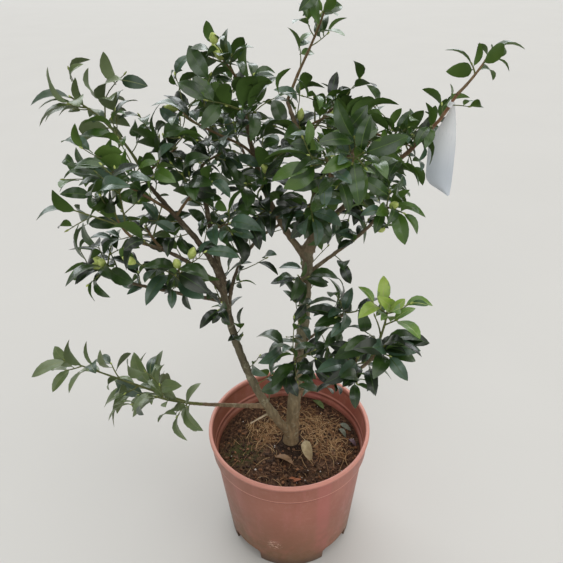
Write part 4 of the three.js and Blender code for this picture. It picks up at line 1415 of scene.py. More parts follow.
def make_trunk(limbs, finish):
    """The trunk, the second stem and its two broken stubs in one skin."""
    route, radii = limb_route(limbs["trunk"])
    route = [route[0] - np.array([0, 0, TRUNK_SUNK])] + route
    radii = [radii[0] + TRUNK_FOOT_WIDER] + radii
    tubes = [
        limb_tube("trunk", route, radii, STEM_SIDES),
        limb_tube("second_stem", *limb_route(limbs["second_stem"]), STEM_SIDES),
    ]
    for entry in STUB_ROWS:
        stub, points = stub_walk(limbs, entry)
        route = curved(points, 2)
        last = len(route) - 1
        radii = [radius_at(stub, k / last) * (STUB_COLLAR if k < 2 else 1) for k in range(last + 1)]
        tubes.append(limb_tube(stub["name"], route, radii, BOUGH_SIDES))
    return fused("trunk_bark", tubes, BARK_VOXEL, BARK_RELIEF, finish)


def make_boughs(limbs, names, finish):
    tubes = [limb_tube(name, *limb_route(limbs[name]), BOUGH_SIDES) for name in names]
    return fused("bough_bark", tubes, BOUGH_VOXEL, BOUGH_RELIEF, finish)


# Leaves, twigs and buds

# Along a blade: the place and the share of its full width. Across it: each column's share.
LEAF_STATIONS = (
    (0.0, 0.07), (0.09, 0.08), (0.17, 0.5), (0.3, 0.86),
    (0.48, 1.0), (0.66, 0.95), (0.82, 0.7), (0.93, 0.34),
)
LEAF_COLUMNS = (-1, -0.52, 0, 0, 0.52, 1)
STALK_TO = 0.12
STALK_THICK = 0.9
BLADE_THICK = 0.45
RIB_HALF = 0.55
RIB_SHARE = 0.7
RIB_AT_FOOT = 1.2
RIB_THINS = 0.8
RIB_MAP = 0.02
MIDDLE_COLUMN = 2.5
RIPPLE_ALONG = 9
RIPPLE_SIDES = 3
LEAF_SMOOTH = 48
EDGE_FOLDS = 0.8
RIB = 3
UNDERSIDE = 4

# Lowest and highest of what each leaf draws: shares of its own size, and angles in degrees
LEAF_GROWTHS = (0.8, 1.0)
LEAF_WIDTHS = (0.76, 0.98)
ARCHES = (0.04, 0.19)
DROOPS = (0.02, 0.27)
FOLDS = (7, 27)
TWISTS = (-16, 16)
SWAYS = (-0.035, 0.035)
RIPPLES = (0.0, 0.012)


def leaf_slot(station, column, tone):
    """Whether a face is rib, underside or blade."""
    if column == 2 or station == 0:
        return RIB
    return UNDERSIDE if column >= len(LEAF_COLUMNS) - 1 else tone


def leaf_form(leaf, tone):
    """A pointed oval blade with its stalk, midrib and thin underside, folded, arched and twisted."""
    key = leaf["key"]
    axis = leaf["axis"]
    normal = leaf["normal"]
    side = np.cross(axis, normal)
    length = leaf["length"] * between(*LEAF_GROWTHS, *key, 20) * leaf.get("grown", 1)
    half = length * LEAF_ASPECT / 2 * between(*LEAF_WIDTHS, *key, 21) * leaf.get("narrow", 1)
    arch = length * between(*ARCHES, *key, 22)
    droop = length * between(*DROOPS, *key, 23)
    fold = math.tan(math.radians(between(*FOLDS, *key, 24)))
    twist = math.radians(between(*TWISTS, *key, 25))
    sway = length * between(*SWAYS, *key, 26)
    ripple = length * between(*RIPPLES, *key, 27)
    corners = []
    maps = []
    for part, share in LEAF_STATIONS:
        middling = 4 * part * (1 - part)
        rise = arch * middling - droop * part ** 3
        centre = leaf["root"] + axis * (length * part) + normal * rise + side * (sway * middling)
        across = side * math.cos(twist * part) + normal * math.sin(twist * part)
        up = np.cross(across, axis)
        width = half * share
        rib = min(RIB_HALF * (RIB_AT_FOOT - RIB_THINS * part), width * RIB_SHARE)
        for column, spot in enumerate(LEAF_COLUMNS):
            out = spot * width
            if spot == 0:
                out = rib * (-1 if column == 2 else 1)
            lift = abs(out) * fold
            if abs(spot) == 1:
                lift = lift * EDGE_FOLDS + ripple * math.sin(RIPPLE_ALONG * part + RIPPLE_SIDES * spot)
            corners.append(centre + across * out + up * lift)
            aside = RIB_MAP * (column - MIDDLE_COLUMN) * (spot == 0)
            maps.append((0.5 + 0.5 * spot + aside, part))
        corners.append(centre - up * (STALK_THICK if part < STALK_TO else BLADE_THICK))
        maps.append((0.5, part))
    corners.append(leaf["root"] + axis * length - normal * droop)
    maps.append((0.5, 1.0))
    count = len(LEAF_COLUMNS) + 1
    stations = len(LEAF_STATIONS)
    slots = [leaf_slot(k, c, tone) for k in range(stations) for c in range(count)]
    return corners, pointed_faces(stations, count), slots + [RIB], maps


def pointed_faces(rings, sides):
    """The faces of rings that close in one tip, with the foot last."""
    last = (rings - 1) * sides
    tip = [[last + s, last + (s + 1) % sides, last + sides] for s in range(sides)]
    return quads_between(rings, sides) + tip + [list(range(sides))[::-1]]


YOUNG_TOP = 16
OWN_TONE = 0.6
TONE_EDGES = (0.45, 0.8)
OLIVE_GROWTH = 1.24


def third(value, edges):
    """Which of three a drawn value falls to: 0 below the first edge, 1 below the second, or 2."""
    return 0 if value < edges[0] else 1 if value < edges[1] else 2


def tone_of(mass, leaf):
    """Which of the piece's three greens a leaf takes: mostly its twig's own.

    On the young shoot only the leaves at its very top are pale."""
    seed, shoot, j = leaf["key"]
    if mass["tint"] == "young":
        return 2 - third(np.linalg.norm(leaf["root"] - mass["stem"][-1]), (YOUNG_TOP, 2 * YOUNG_TOP))
    own = chance(seed, shoot, 31)
    if chance(seed, shoot, j, 32) > OWN_TONE:
        own = chance(seed, shoot, j, 33)
    return third(own, TONE_EDGES)


def make_leaves(name, masses, finishes):
    leaves = Gathered(finishes)
    for mass in masses:
        for leaf in mass["leaves_made"]:
            leaf["grown"] = OLIVE_GROWTH if mass["tint"] == "olive" else 1
            leaves.add(*leaf_form(leaf, tone_of(mass, leaf)))
    return leaves.piece(name, LEAF_SMOOTH, "leaf")


# Radii at a twig's foot and tip, and its bow
STEM_RADII = (2.2, 1.1)
TWIG_RADII = (1.2, 0.8)
TWIG_BOW = 0.04
FINE_RADII = (0.75, 0.55)
FINE_BOW = 0.05
NODE_SWELLS = 1.12
TWIG_SIDES = 7
TWIG_SMOOTH = 60
STEM_STRETCHES = 4
BOW_AT = (0.33, 0.67)


def bowed(points, key, bow):
    """A straight twig with a slight bow, as four points."""
    root, tip = points
    way = tip - root
    off = turned(unit(way), 360 * chance(*key, 41)) * np.linalg.norm(way) * bow
    return [root, *[root + way * share + off for share in BOW_AT], tip]


def shoot_key(mass, shoot):
    return (shoot.get("seed", mass["seed"]), shoot["key"])


def make_twigs(masses, finishes):
    """The stems, side twigs and fine twigs as one piece of thin tubes."""
    twigs = Gathered(finishes)
    for mass in masses:
        for shoot in mass["shoots"] + mass["fine"]:
            key = shoot_key(mass, shoot)
            slot = 1
            if shoot["key"] == STEM_KEY:
                route = curved(shoot["points"], STEM_STRETCHES)
                thick, thin = STEM_RADII
                slot = 1 if mass["tint"] in ("young", "olive") else 0
            elif shoot.get("fine"):
                route = bowed(shoot["points"], key, FINE_BOW)
                thick, thin = FINE_RADII
            else:
                route = curved(bowed(shoot["points"], key, TWIG_BOW), 2)
                thick, thin = TWIG_RADII
            count = len(route) - 1
            radii = [thick + (thin - thick) * k / count for k in range(count + 1)]
            radii = [radius * (NODE_SWELLS if k % 3 == 1 else 1) for k, radius in enumerate(radii)]
            corners, faces = tube_rings(route, radii, TWIG_SIDES)
            twigs.add(corners, faces, slot)
    return twigs.piece("twigs", TWIG_SMOOTH)


FLOWER_BUD_GROWTH = 1.6
FLOWER_BUD_SIZES = (0.9, 1.08)
FLOWER_BUD_SKIN = (10, 0.035)
SLIM_BUD_LENGTHS = (4.5, 8)
SLIM_BUD_WIDTH = 2.5
SLIM_BUD_SKIN = (6, 0.03)
YOUNG_BUD = (14, 7.5, 10, 0.05)
GREEN_SLIM_BUDS = 0.6
BUD_SUNK = 0.6
BUD_SMOOTH = 50
FIRST_BUD_TURN = 40
DEPTH_COST = 0.05
BUD_LIFT = (0, -0.5, 0.6)
BUD_OUTLINE = ((0.0, 0.35), (0.16, 0.78), (0.36, 1.0), (0.58, 0.92), (0.78, 0.6), (0.93, 0.24))


def bud_form(root, axis, length, width, sides, scales):
    """A pointed egg on its stalk, its skin stepped into overlapping scales."""
    side = side_of(axis)
    corners = []
    for k, (part, share) in enumerate(BUD_OUTLINE):
        stepped = [1 + scales * (1 if (s + k) % 2 else -1) for s in range(sides)]
        radii = [width / 2 * share * step for step in stepped]
        middle = root + axis * (length * part)
        corners += ring_round(middle, side, np.cross(side, axis), radii, 0.5 * (k % 2))
    return corners + [root + axis * length], pointed_faces(len(BUD_OUTLINE), sides)


def flower_bud(root, axis, *key):
    size = FLOWER_BUD_GROWTH * between(*FLOWER_BUD_SIZES, *key)
    return bud_form(root, axis, BUD_LENGTH * size, BUD_WIDTH * size, *FLOWER_BUD_SKIN)


def budded_tips(masses):
    """The shoots' ends that lie nearest to where the photograph shows flower buds."""
    ends = [along(shoot["points"], 1) for mass in masses for shoot in mass["shoots"] + mass["fine"]]
    seen = [seen_at(tip) for tip, _ in ends]
    taken = (0, 0, 1 / DEPTH_COST ** 2)
    chosen = []
    for x, y in BUD_PLACES:
        costs = [math.hypot(across - x, down - y) + DEPTH_COST * depth for across, down, depth in seen]
        nearest = int(np.argmin(costs))
        chosen.append(ends[nearest])
        seen[nearest] = taken
    return chosen


def make_buds(masses, finishes):
    """The plump flower buds, and a slim leaf bud on every twig's end."""
    buds = Gathered(finishes)
    for k, (tip, way) in enumerate(budded_tips(masses)):
        buds.add(*flower_bud(tip - way * BUD_SUNK, unit(way + np.array(BUD_LIFT)), k, 54), 0)
    for mass in masses:
        point, ahead = along(mass["stem"], 1)
        for k in range(mass["buds"]):
            lean = FIRST_BUD_LEAN if k == 0 else NEXT_BUD_LEAN
            axis = unit(ahead + turned(ahead, k * BUD_TURN + FIRST_BUD_TURN) * lean)
            if is_inside(mass["space"], [point + axis * BUD_LENGTH]):
                buds.add(*flower_bud(point, axis, mass["seed"], k, 51), 0)
        for shoot in mass["shoots"] + mass["fine"]:
            is_stem = shoot["key"] == STEM_KEY
            if is_stem and mass["buds"]:
                continue
            tip, way = along(shoot["points"], 1)
            root = tip - way * BUD_SUNK
            if is_stem and mass["tint"] == "young":
                buds.add(*bud_form(root, way, *YOUNG_BUD), 2)
                continue
            key = shoot_key(mass, shoot)
            length = between(*SLIM_BUD_LENGTHS, *key, 52)
            slot = 1 if chance(*key, 53) < GREEN_SLIM_BUDS else 0
            buds.add(*bud_form(root, way, length, SLIM_BUD_WIDTH, *SLIM_BUD_SKIN), slot)
    return buds.piece("buds", BUD_SMOOTH)


# Pot

POT_SMOOTH = 32
MOST_ROUNDED = 0.45
CUTTER_DEPTH = 40
CUTTER_ROUND = 7
CUTTER_STEPS = 5


def wall_at(height):
    return BASE_RADIUS + WALL_FLARE * height / POT_HEIGHT


def turned_piece(name, profile, sides):
    """A closed body drawn up ring by ring about the Z axis, from its underside to its inside."""
    bpy.ops.object.select_all(action="DESELECT")
    radius, height = profile[0]
    bpy.ops.mesh.primitive_circle_add(
        vertices=sides, radius=radius * MM, fill_type="NOTHING", location=(0, 0, height * MM))
    piece = named_piece(name)
    apply_transform()
    bpy.ops.object.mode_set(mode="EDIT")
    bpy.ops.mesh.select_all(action="SELECT")
    for next_radius, next_height in profile[1:]:
        bpy.ops.mesh.extrude_region_move(
            TRANSFORM_OT_translate={"value": (0, 0, (next_height - height) * MM)})
        grow = next_radius / radius
        bpy.ops.transform.resize(value=(grow, grow, 1), center_override=(0, 0, next_height * MM))
        radius, height = next_radius, next_height
    bpy.ops.mesh.merge(type="CENTER")
    close_ring()
    bpy.ops.object.mode_set(mode="OBJECT")
    face_outward(piece)
    return piece


def close_ring():
    """Fills the open ring at the lowest edge of the body in edit mode."""
    bpy.ops.mesh.select_all(action="DESELECT")
    bpy.ops.mesh.select_mode(type="EDGE")
    bpy.ops.mesh.select_non_manifold(extend=False)
    bpy.ops.mesh.edge_face_add()
    bpy.ops.mesh.select_mode(type="VERT")


def rounded_corner(before, corner, after, reach, count=4):
    """Points round a profile corner, from one side of it to the other."""
    before, corner, after = (np.array(p, float) for p in (before, corner, after))
    first, last = (
        corner + unit(end - corner) * min(reach, np.linalg.norm(end - corner) * MOST_ROUNDED)
        for end in (before, after)
    )
    shares = [k / (count - 1) for k in range(count)]
    return [tuple((1 - t) ** 2 * first + 2 * t * (1 - t) * corner + t * t * last) for t in shares]


def soft_profile(corners):
    """A profile whose corners, given with how far each is rounded, are eased."""
    profile = []
    for k, (radius, height, reach) in enumerate(corners):
        if reach and 0 < k < len(corners) - 1:
            profile += rounded_corner(corners[k - 1][:2], (radius, height), corners[k + 1][:2], reach)
        else:
            profile.append((radius, height))
    return profile


def make_pot(finish):
    """The pot's shell: rolled lip, stepped band, inner ledge, flat foot and four scooped drains."""
    lip_foot = POT_HEIGHT - LIP_HEIGHT
    outer = [
        (104, 0, 0),
        (BASE_RADIUS, 0, 3.0),
        (wall_at(60), 60, 0),
        (wall_at(120), 120, 0),
        (wall_at(BAND_FOOT - 3), BAND_FOOT - 3, 0),
        (wall_at(BAND_FOOT) - 0.4, BAND_FOOT, 0.8),
        (wall_at(BAND_FOOT) + BAND_PROUD + 1.8, BAND_FOOT + 1.8, 1.6),
        (wall_at(lip_foot) + BAND_PROUD - 0.6, lip_foot - 1.6, 1.0),
        (RIM_RADIUS + 1.6, lip_foot - 0.4, 3.2),
        (RIM_RADIUS + 2.0, POT_HEIGHT, 4.2),
        (RIM_RADIUS - 4.6, POT_HEIGHT, 3.0),
        (wall_at(STEP_HEIGHT) + 0.4, STEP_HEIGHT + 3, 2.4),
        (wall_at(STEP_HEIGHT) - STEP_DEPTH, STEP_HEIGHT, 1.8),
        (wall_at(150) - WALL, 150, 0),
        (100, 33, 0),
        (88, 3.2, 0),
    ]
    pot = turned_piece("pot_shell", soft_profile(outer), POT_SIDES)
    for k in range(DRAIN_CUTS):
        cut_drain(pot, 2 * math.pi * (k + 0.5) / DRAIN_CUTS)
    return dressed(pot, finish, POT_SMOOTH)


def cut_drain(pot, angle):
    """Cuts one drain into the foot: a scoop with rounded top corners, as wide as it shows."""
    bpy.ops.object.select_all(action="DESELECT")
    bpy.ops.mesh.primitive_cube_add(size=1)
    cutter = named_piece("drain_cutter")
    cutter.scale = (CUTTER_DEPTH * MM, DRAIN_CUT_WIDTH * MM, 2 * DRAIN_CUT_HEIGHT * MM)
    cutter.location = ((BASE_RADIUS - DRAIN_CUT_DEPTH + CUTTER_DEPTH / 2) * MM, 0, 0)
    apply_transform()
    cutter.rotation_euler = (0, 0, angle)
    apply_transform()
    soften = cutter.modifiers.new("soften", "BEVEL")
    soften.width = CUTTER_ROUND * MM
    soften.segments = CUTTER_STEPS
    apply_all(cutter)
    cut = pot.modifiers.new("drain", "BOOLEAN")
    cut.operation = "DIFFERENCE"
    cut.solver = "EXACT"
    cut.object = cutter
    apply_all(pot)
    bpy.data.objects.remove(cutter)


# Soil and what lies on it

TRUNK_X = 3
SOIL_SIDES = 144
SOIL_RINGS = 2.6
MIDDLE_HOLE = 3
SOIL_SMOOTH = 50
CRUMB_SMOOTH = 30
SOIL_LOW = 0.6
SOIL_INSET = 1
EDGE_SOFT = 12
EDGE_LUMPS = 0.3
MOUND_HEIGHT = 6.5
MOUND_REACH = 28
LUMP_SIZE = 22
LUMP_LAYER = 3.7
LUMPS = ((1, 1.6), (3.1, 1.0), (8.3, 0.5))
SCATTER_REACH = 121
SCATTER_TRIES = 20
OFF_TRUNK = 19
FIBRE_OFF_TRUNK = 17


def soil_height(x, y):
    """The soil's top over a place, swelling to the trunk and lumpy all over."""
    edge = wall_at(SOIL_EDGE) - STEP_DEPTH - SOIL_INSET
    inward = edge - math.hypot(x, y)
    share = min(max(inward / (edge - PLATEAU_RADIUS), 0), 1)
    height = SOIL_EDGE + (SOIL_TOP - SOIL_EDGE) * share
    near_edge = min(max(inward / EDGE_SOFT, 0), 1)
    spot = Vector((x / LUMP_SIZE, y / LUMP_SIZE, LUMP_LAYER))
    lumps = MOUND_HEIGHT * math.exp(-(((x - TRUNK_X) ** 2 + y ** 2) / MOUND_REACH ** 2))
    for finer, lump in LUMPS:
        lumps += lump * noise.noise(spot * finer)
    return height + lumps * (EDGE_LUMPS + (1 - EDGE_LUMPS) * near_edge) - SOIL_LOW


def make_soil(finish):
    edge = wall_at(SOIL_EDGE) - STEP_DEPTH - SOIL_INSET
    profile = [(40, 3.6), (87.6, 3.6), (99.6, 33), (wall_at(66) - WALL - 0.4, 66), (edge, 186)]
    radius = edge - 0.1
    while radius > MIDDLE_HOLE:
        profile.append((radius, SOIL_EDGE))
        radius -= SOIL_RINGS
    soil = turned_piece("soil_top", profile, SOIL_SIDES)
    for vertex in soil.data.vertices:
        if vertex.co.z > (SOIL_EDGE - 1) * MM:
            vertex.co.z = soil_height(vertex.co.x / MM, vertex.co.y / MM) * MM
    return dressed(soil, finish, SOIL_SMOOTH)


def on_soil(x, y, above):
    return np.array([x, y, soil_height(x, y) + above])


def lump_corners():
    """The twelve corners of an icosahedron: its top, two rings of five, and its foot."""
    corners = [(0, 0, 1)]
    for start, height in ((0, 1), (36, -1)):
        for k in range(5):
            x, y = on_circle(start + 72 * k)
            ring = (2 * x, 2 * y, height)
            corners.append(tuple(round(c / math.sqrt(5), 2) for c in ring))
    return corners + [(0, 0, -1)]


def lump_faces():
    pairs = [(k, (k + 1) % 5) for k in range(5)]
    top = [[0, 1 + a, 1 + b] for a, b in pairs]
    under_top = [[1 + a, 6 + a, 1 + b] for a, b in pairs]
    over_foot = [[1 + b, 6 + a, 6 + b] for a, b in pairs]
    foot = [[11, 6 + b, 6 + a] for a, b in pairs]
    return top + under_top + over_foot + foot


LUMP_CORNERS = lump_corners()
LUMP_FACES = lump_faces()
FLATNESS = (0.5, 0.9)
KNOCKS = (0.7, 1.25)


def lump_form(centre, size, key):
    """A crumb with its corners knocked in and out."""
    flat = between(*FLATNESS, *key, 1)
    corners = []
    for k, (x, y, z) in enumerate(LUMP_CORNERS):
        push = size * between(*KNOCKS, *key, k, 2)
        corners.append(centre + push * np.array([x, y, z * flat]))
    return corners, LUMP_FACES


def spot_on_soil(key):
    """A place scattered evenly over the soil, off the trunk."""
    for attempt in range(SCATTER_TRIES):
        radius = SCATTER_REACH * math.sqrt(chance(*key, attempt, 61))
        angle = 2 * math.pi * chance(*key, attempt, 62)
        x = radius * math.cos(angle)
        y = radius * math.sin(angle)
        if math.hypot(x - TRUNK_X, y) > OFF_TRUNK:
            return x, y
    return SCATTER_REACH, 0


CRUMBS = 2100
CRUMB_LEAST = 0.7
CRUMB_VARIES = 2.7
CRUMB_SHARES = (0.6, 0.88)
CRUMB_RISE = 0.25
PERLITE = 34
PERLITE_SIZES = (0.6, 1.2)
PERLITE_RISE = 0.4
PERLITE_SEEN = ((-26, -11), (79, -26), (25, -82), (52, -66), (-60, -58))
PERLITE_SEEN_SIZES = (1.5, 2.1)


def make_crumbs(finishes):
    """Crumbs of dark soil and bark, with a few white perlite grains."""
    crumbs = Gathered(finishes)
    for k in range(CRUMBS):
        x, y = spot_on_soil((71, k))
        size = CRUMB_LEAST + CRUMB_VARIES * chance(72, k) ** 2
        slot = third(chance(73, k), CRUMB_SHARES)
        crumbs.add(*lump_form(on_soil(x, y, size * CRUMB_RISE), size, (74, k)), slot)
    for k in range(PERLITE):
        is_seen = k < len(PERLITE_SEEN)
        x, y = PERLITE_SEEN[k] if is_seen else spot_on_soil((75, k))
        size = between(*(PERLITE_SEEN_SIZES if is_seen else PERLITE_SIZES), 76, k)
        crumbs.add(*lump_form(on_soil(x, y, size * PERLITE_RISE), size, (77, k)), 3)
    return crumbs.piece("soil_crumbs", CRUMB_SMOOTH)


# Mats of coir: middle, reach across and back, and how many fibres lie in each
FIBRE_MATS = (
    (58, 18, 42, 48, 330),
    (84, -18, 26, 26, 90),
    (-34, 22, 26, 34, 190),
    (8, 62, 46, 26, 110),
    (-62, 34, 18, 22, 60),
    (0, 0, 112, 112, 130),
)
FIBRE_STEPS = 5
FIBRE_LENGTHS = (9, 34)
FIBRE_BENDS = (-1.6, 1.6)
FIBRE_LIFTS = (0.4, 3.4)
FIBRE_RADII = (0.22, 0.5)
FIBRE_ENDS = 0.55
FIBRE_SIDES = 4
FIBRE_SMOOTH = 60
FIBRE_RISE = 0.5
FIBRE_SHARES = (0.5, 0.85)


def fibre_route(x, y, number):
    """A fibre's bent route over the soil, which ends at the pot's wall or at the trunk."""
    way = 2 * math.pi * chance(83, number)
    step = between(*FIBRE_LENGTHS, 84, number) / FIBRE_STEPS
    bend = between(*FIBRE_BENDS, 85, number)
    lift = between(*FIBRE_LIFTS, 86, number)
    route = []
    for k in range(FIBRE_STEPS + 1):
        part = k / FIBRE_STEPS
        if math.hypot(x, y) > SCATTER_REACH or math.hypot(x - TRUNK_X, y) < FIBRE_OFF_TRUNK:
            break
        route.append(on_soil(x, y, FIBRE_RISE + lift * 4 * part * (1 - part)))
        x += step * math.cos(way + bend * part)
        y += step * math.sin(way + bend * part)
    return route


def make_fibres(finishes):
    """Loose coir fibres that lie over one another on the soil in mats."""
    fibres = Gathered(finishes)
    mats = [mat for mat in FIBRE_MATS for _ in range(mat[-1])]
    for number, (middle_x, middle_y, reach_x, reach_y, _) in enumerate(mats, 1):
        radius = math.sqrt(chance(81, number))
        angle = 2 * math.pi * chance(82, number)
        x = middle_x + reach_x * radius * math.cos(angle)
        y = middle_y + reach_y * radius * math.sin(angle)
        route = fibre_route(x, y, number)
        if len(route) > 2:
            thick = between(*FIBRE_RADII, 87, number)
            radii = [thick] * len(route)
            radii[0] = radii[-1] = thick * FIBRE_ENDS
            slot = third(chance(88, number), FIBRE_SHARES)
            fibres.add(*tube_rings(route, radii, FIBRE_SIDES), slot)
    return fibres.piece("coir_fibres", FIBRE_SMOOTH)


# Fallen leaves on the soil: root, tip, rise at root and tip, turn of the face, and finish
LITTER = (
    (8, -56, -34, -27, 3.0, 3.5, 0.9, 0),
    (28, -4, 38, -55, 7.0, 2.5, -0.2, 1),
    (11, -84, -6, -77, 2.0, 3.5, 0.1, 2),
    (4, -88, 22, -79, 2.5, 2.0, -0.3, 2),
    (48, 108, 74, 78, 6.0, 5.0, 0.25, 3),
    (96, 44, 120, 22, 4.0, 5.0, -0.2, 4),
    (92, 30, 106, 8, 3.0, 6.0, 0.3, 4),
    (108, 6, 122, -12, 2.5, 3.5, 0.0, 5),
)
LITTER_NARROW = 0.95
LITTER_SMOOTH = 50
BEIGE = 1
BEIGE_FACES = -0.35


def make_litter(finishes):
    litter = Gathered(finishes)
    for k, (x, y, tip_x, tip_y, low, high, lean, slot) in enumerate(LITTER):
        root = on_soil(x, y, low)
        way = on_soil(tip_x, tip_y, high) - root
        facing = np.array([lean, BEIGE_FACES * (slot == BEIGE), 1.0])
        leaf = leaf_at(root, unit(way), facing, np.linalg.norm(way), (91, k, 3))
        leaf["narrow"] = LITTER_NARROW
        corners, faces, slots, maps = leaf_form(leaf, slot)
        litter.add(corners, faces, [slot] * len(slots), maps)
    return litter.piece("fallen_leaves", LITTER_SMOOTH, "leaf")


# Label

LABEL_ACROSS = 8
LABEL_UP = 20
LABEL_BELLY = 3.2
BELLY_BELOW = 40
LABEL_WAVE = 0.8
WAVE_LENGTH = 17
FILM = 0.6
RING_SIDES = 20
LABEL_SMOOTH = 50


def make_label(limbs, finish):
    """The blank film label: a sleeve round the right bough and a broad strip that hangs from it."""
    ring, facing, rows = label_plan(limbs)
    bpy.ops.object.select_all(action="DESELECT")
    bpy.ops.mesh.primitive_grid_add(
        x_subdivisions=LABEL_ACROSS, y_subdivisions=LABEL_UP, size=2, location=(0, 0, 0))
    label = named_piece("hanging_label")
    edges = [np.array([row[side] for row in rows]) for side in (0, 1)]
    drops = [row[0] for row in TAG_ROWS]
    for vertex in label.data.vertices:
        share = (vertex.co.x + 1) / 2
        drop = drops[0] + (drops[-1] - drops[0]) * (1 - vertex.co.y) / 2
        left, right = (np.array([np.interp(drop, drops, edge[:, k]) for k in range(3)]) for edge in edges)
        belly = LABEL_BELLY * math.sin(math.pi * share) * min(1, max(drop, 0) / BELLY_BELOW)
        wave = LABEL_WAVE * math.sin(drop / WAVE_LENGTH) * (share - 0.5)
        vertex.co = Vector((left + (right - left) * share + facing * (belly + wave)) * MM)
    film = label.modifiers.new("film", "SOLIDIFY")
    film.thickness = FILM * MM
    film.offset = 0
    apply_all(label)
    sleeve = Gathered([finish])
    sleeve.add(*tube_rings(ring, [TAG_RING_RADIUS] * 2, RING_SIDES), 0)
    pick(label, sleeve.piece("label_sleeve", LABEL_SMOOTH))
    bpy.ops.object.join()
    face_outward(label)
    return dressed(label, finish, LABEL_SMOOTH)


# Camera, floor and light

CAMERA_SEES = 200
FLOOR_SIZE = 160


def make_camera():
    """The camera, from its fitted place, pitch and roll."""
    right, down, ahead = (Vector(way) for way in camera_axes())
    data = bpy.data.cameras.new("photo_camera")
    data.lens = CAMERA_LENS
    data.sensor_width = CAMERA_SENSOR
    data.clip_end = CAMERA_SEES
    camera = bpy.data.objects.new("photo_camera", data)
    bpy.context.collection.objects.link(camera)
    turn = Matrix((right, -down, -ahead)).transposed().to_4x4()
    camera.matrix_world = Matrix.Translation(CAMERA_PLACE) @ turn
    bpy.context.scene.camera = camera


def make_floor():
    bpy.ops.object.select_all(action="DESELECT")
    bpy.ops.mesh.primitive_plane_add(size=FLOOR_SIZE, location=(0, 0, 0))
    floor = named_piece("pale_floor")
    floor.data.materials.append(floor_finish())


# Each light: name, place, what it looks at, width, height, brightness and colour
SOFTBOXES = (
    ("overhead_softbox", (4, 0, 30), (0, 0, 0), 40, 36, 1.3, (1.0, 0.99, 0.97)),
    ("back_softbox", (-8, 45, 28), (0, 0, 1), 84, 24, 3.9, (0.93, 0.97, 1.0)),
    ("right_softbox", (40, -14, 18), (0, 0, 0), 34, 28, 1.2, (1.0, 0.98, 0.95)),
    ("front_softbox", (-6, -45, 24), (0, 0, 0), 60, 24, 2.05, (0.95, 0.98, 1.0)),
)
ROOM_SHADE = (1.0, 0.985, 0.96, 1)
ROOM_STRENGTH = 0.2


def softbox(name, place_at, aim, width, height, brightness, shade):
    """A large soft light. Brightness is what its face would measure, with lit white paper as 1."""
    data = bpy.data.lights.new(name, "AREA")
    data.shape = "RECTANGLE"
    data.size = width
    data.size_y = height
    data.energy = brightness * math.pi * width * height
    data.color = shade
    light = bpy.data.objects.new(name, data)
    bpy.context.collection.objects.link(light)
    way = Vector(aim) - Vector(place_at)
    light.location = place_at
    light.rotation_euler = way.to_track_quat("-Z", "Y").to_euler()
    light.visible_camera = False


def make_light():
    """A soft studio: a dim room, a wide overhead light, and big soft faces on three sides."""
    world = bpy.data.worlds.new("soft_room")
    bpy.context.scene.world = world
    world.use_nodes = True
    room = world.node_tree.nodes["Background"]
    room.inputs["Color"].default_value = ROOM_SHADE
    room.inputs["Strength"].default_value = ROOM_STRENGTH
    for row in SOFTBOXES:
        softbox(*row)
    bpy.context.scene.view_settings.view_transform = "Standard"


# The whole shrub

# Three greens for each tint: name, deep and light shade, roughness and coat. The blue-grey third green of
# the dark and mid tints is the leaves' own tone with painted sky sheen in it.
BLADES = {
    "dark": (
        ("deep_green_blade", (14, 26, 10), (26, 43, 15), 0.31, 0.4),
        ("bottle_green_blade", (31, 52, 18), (52, 80, 28), 0.32, 0.4),
        # Blue-grey green, lighter for a painted sky sheen
        ("blue_green_painted_sheen_blade", (48, 72, 52), (76, 102, 80), 0.33, 0.45),
    ),
    "mid": (
        ("mid_green_blade", (34, 58, 18), (52, 82, 26), 0.31, 0.35),
        ("moss_green_blade", (54, 86, 24), (76, 106, 34), 0.33, 0.3),
        # Blue-grey green, lighter for a painted sky sheen
        ("blue_mid_painted_sheen_blade", (54, 80, 60), (80, 108, 86), 0.33, 0.45),
    ),
    "olive": (
        ("olive_blade", (78, 96, 52), (102, 118, 70), 0.38, 0.15),
        ("grey_olive_blade", (100, 114, 78), (126, 138, 100), 0.42, 0.15),
        ("deep_olive_blade", (36, 60, 36), (52, 78, 48), 0.36, 0.25),
    ),
    "young": (
        ("fresh_blade", (46, 78, 34), (64, 98, 42), 0.34, 0.3),
        ("young_blade", (84, 120, 44), (112, 146, 58), 0.36, 0.25),
        ("lime_blade", (126, 156, 54), (160, 184, 80), 0.38, 0.2),
    ),
}

# The midrib's shade, and the deep and light shades of the underside
RIBS_AND_BACKS = {
    "dark": ((68, 94, 42), (62, 90, 34), (84, 112, 46)),
    "mid": ((90, 118, 52), (74, 104, 38), (98, 126, 52)),
    "olive": ((128, 138, 88), (96, 112, 72), (118, 132, 90)),
    "young": ((170, 186, 104), (120, 146, 74), (146, 168, 94)),
}

# Bark, by height: low, middle, high and lichen, and the heights where the change starts and ends
OLD_BARK = ((144, 122, 90), (136, 130, 104), (124, 112, 90), (170, 168, 142), 190, 640)
NEW_BARK = ((158, 132, 100), (124, 108, 86), (124, 104, 80), (156, 148, 124), 230, 900)

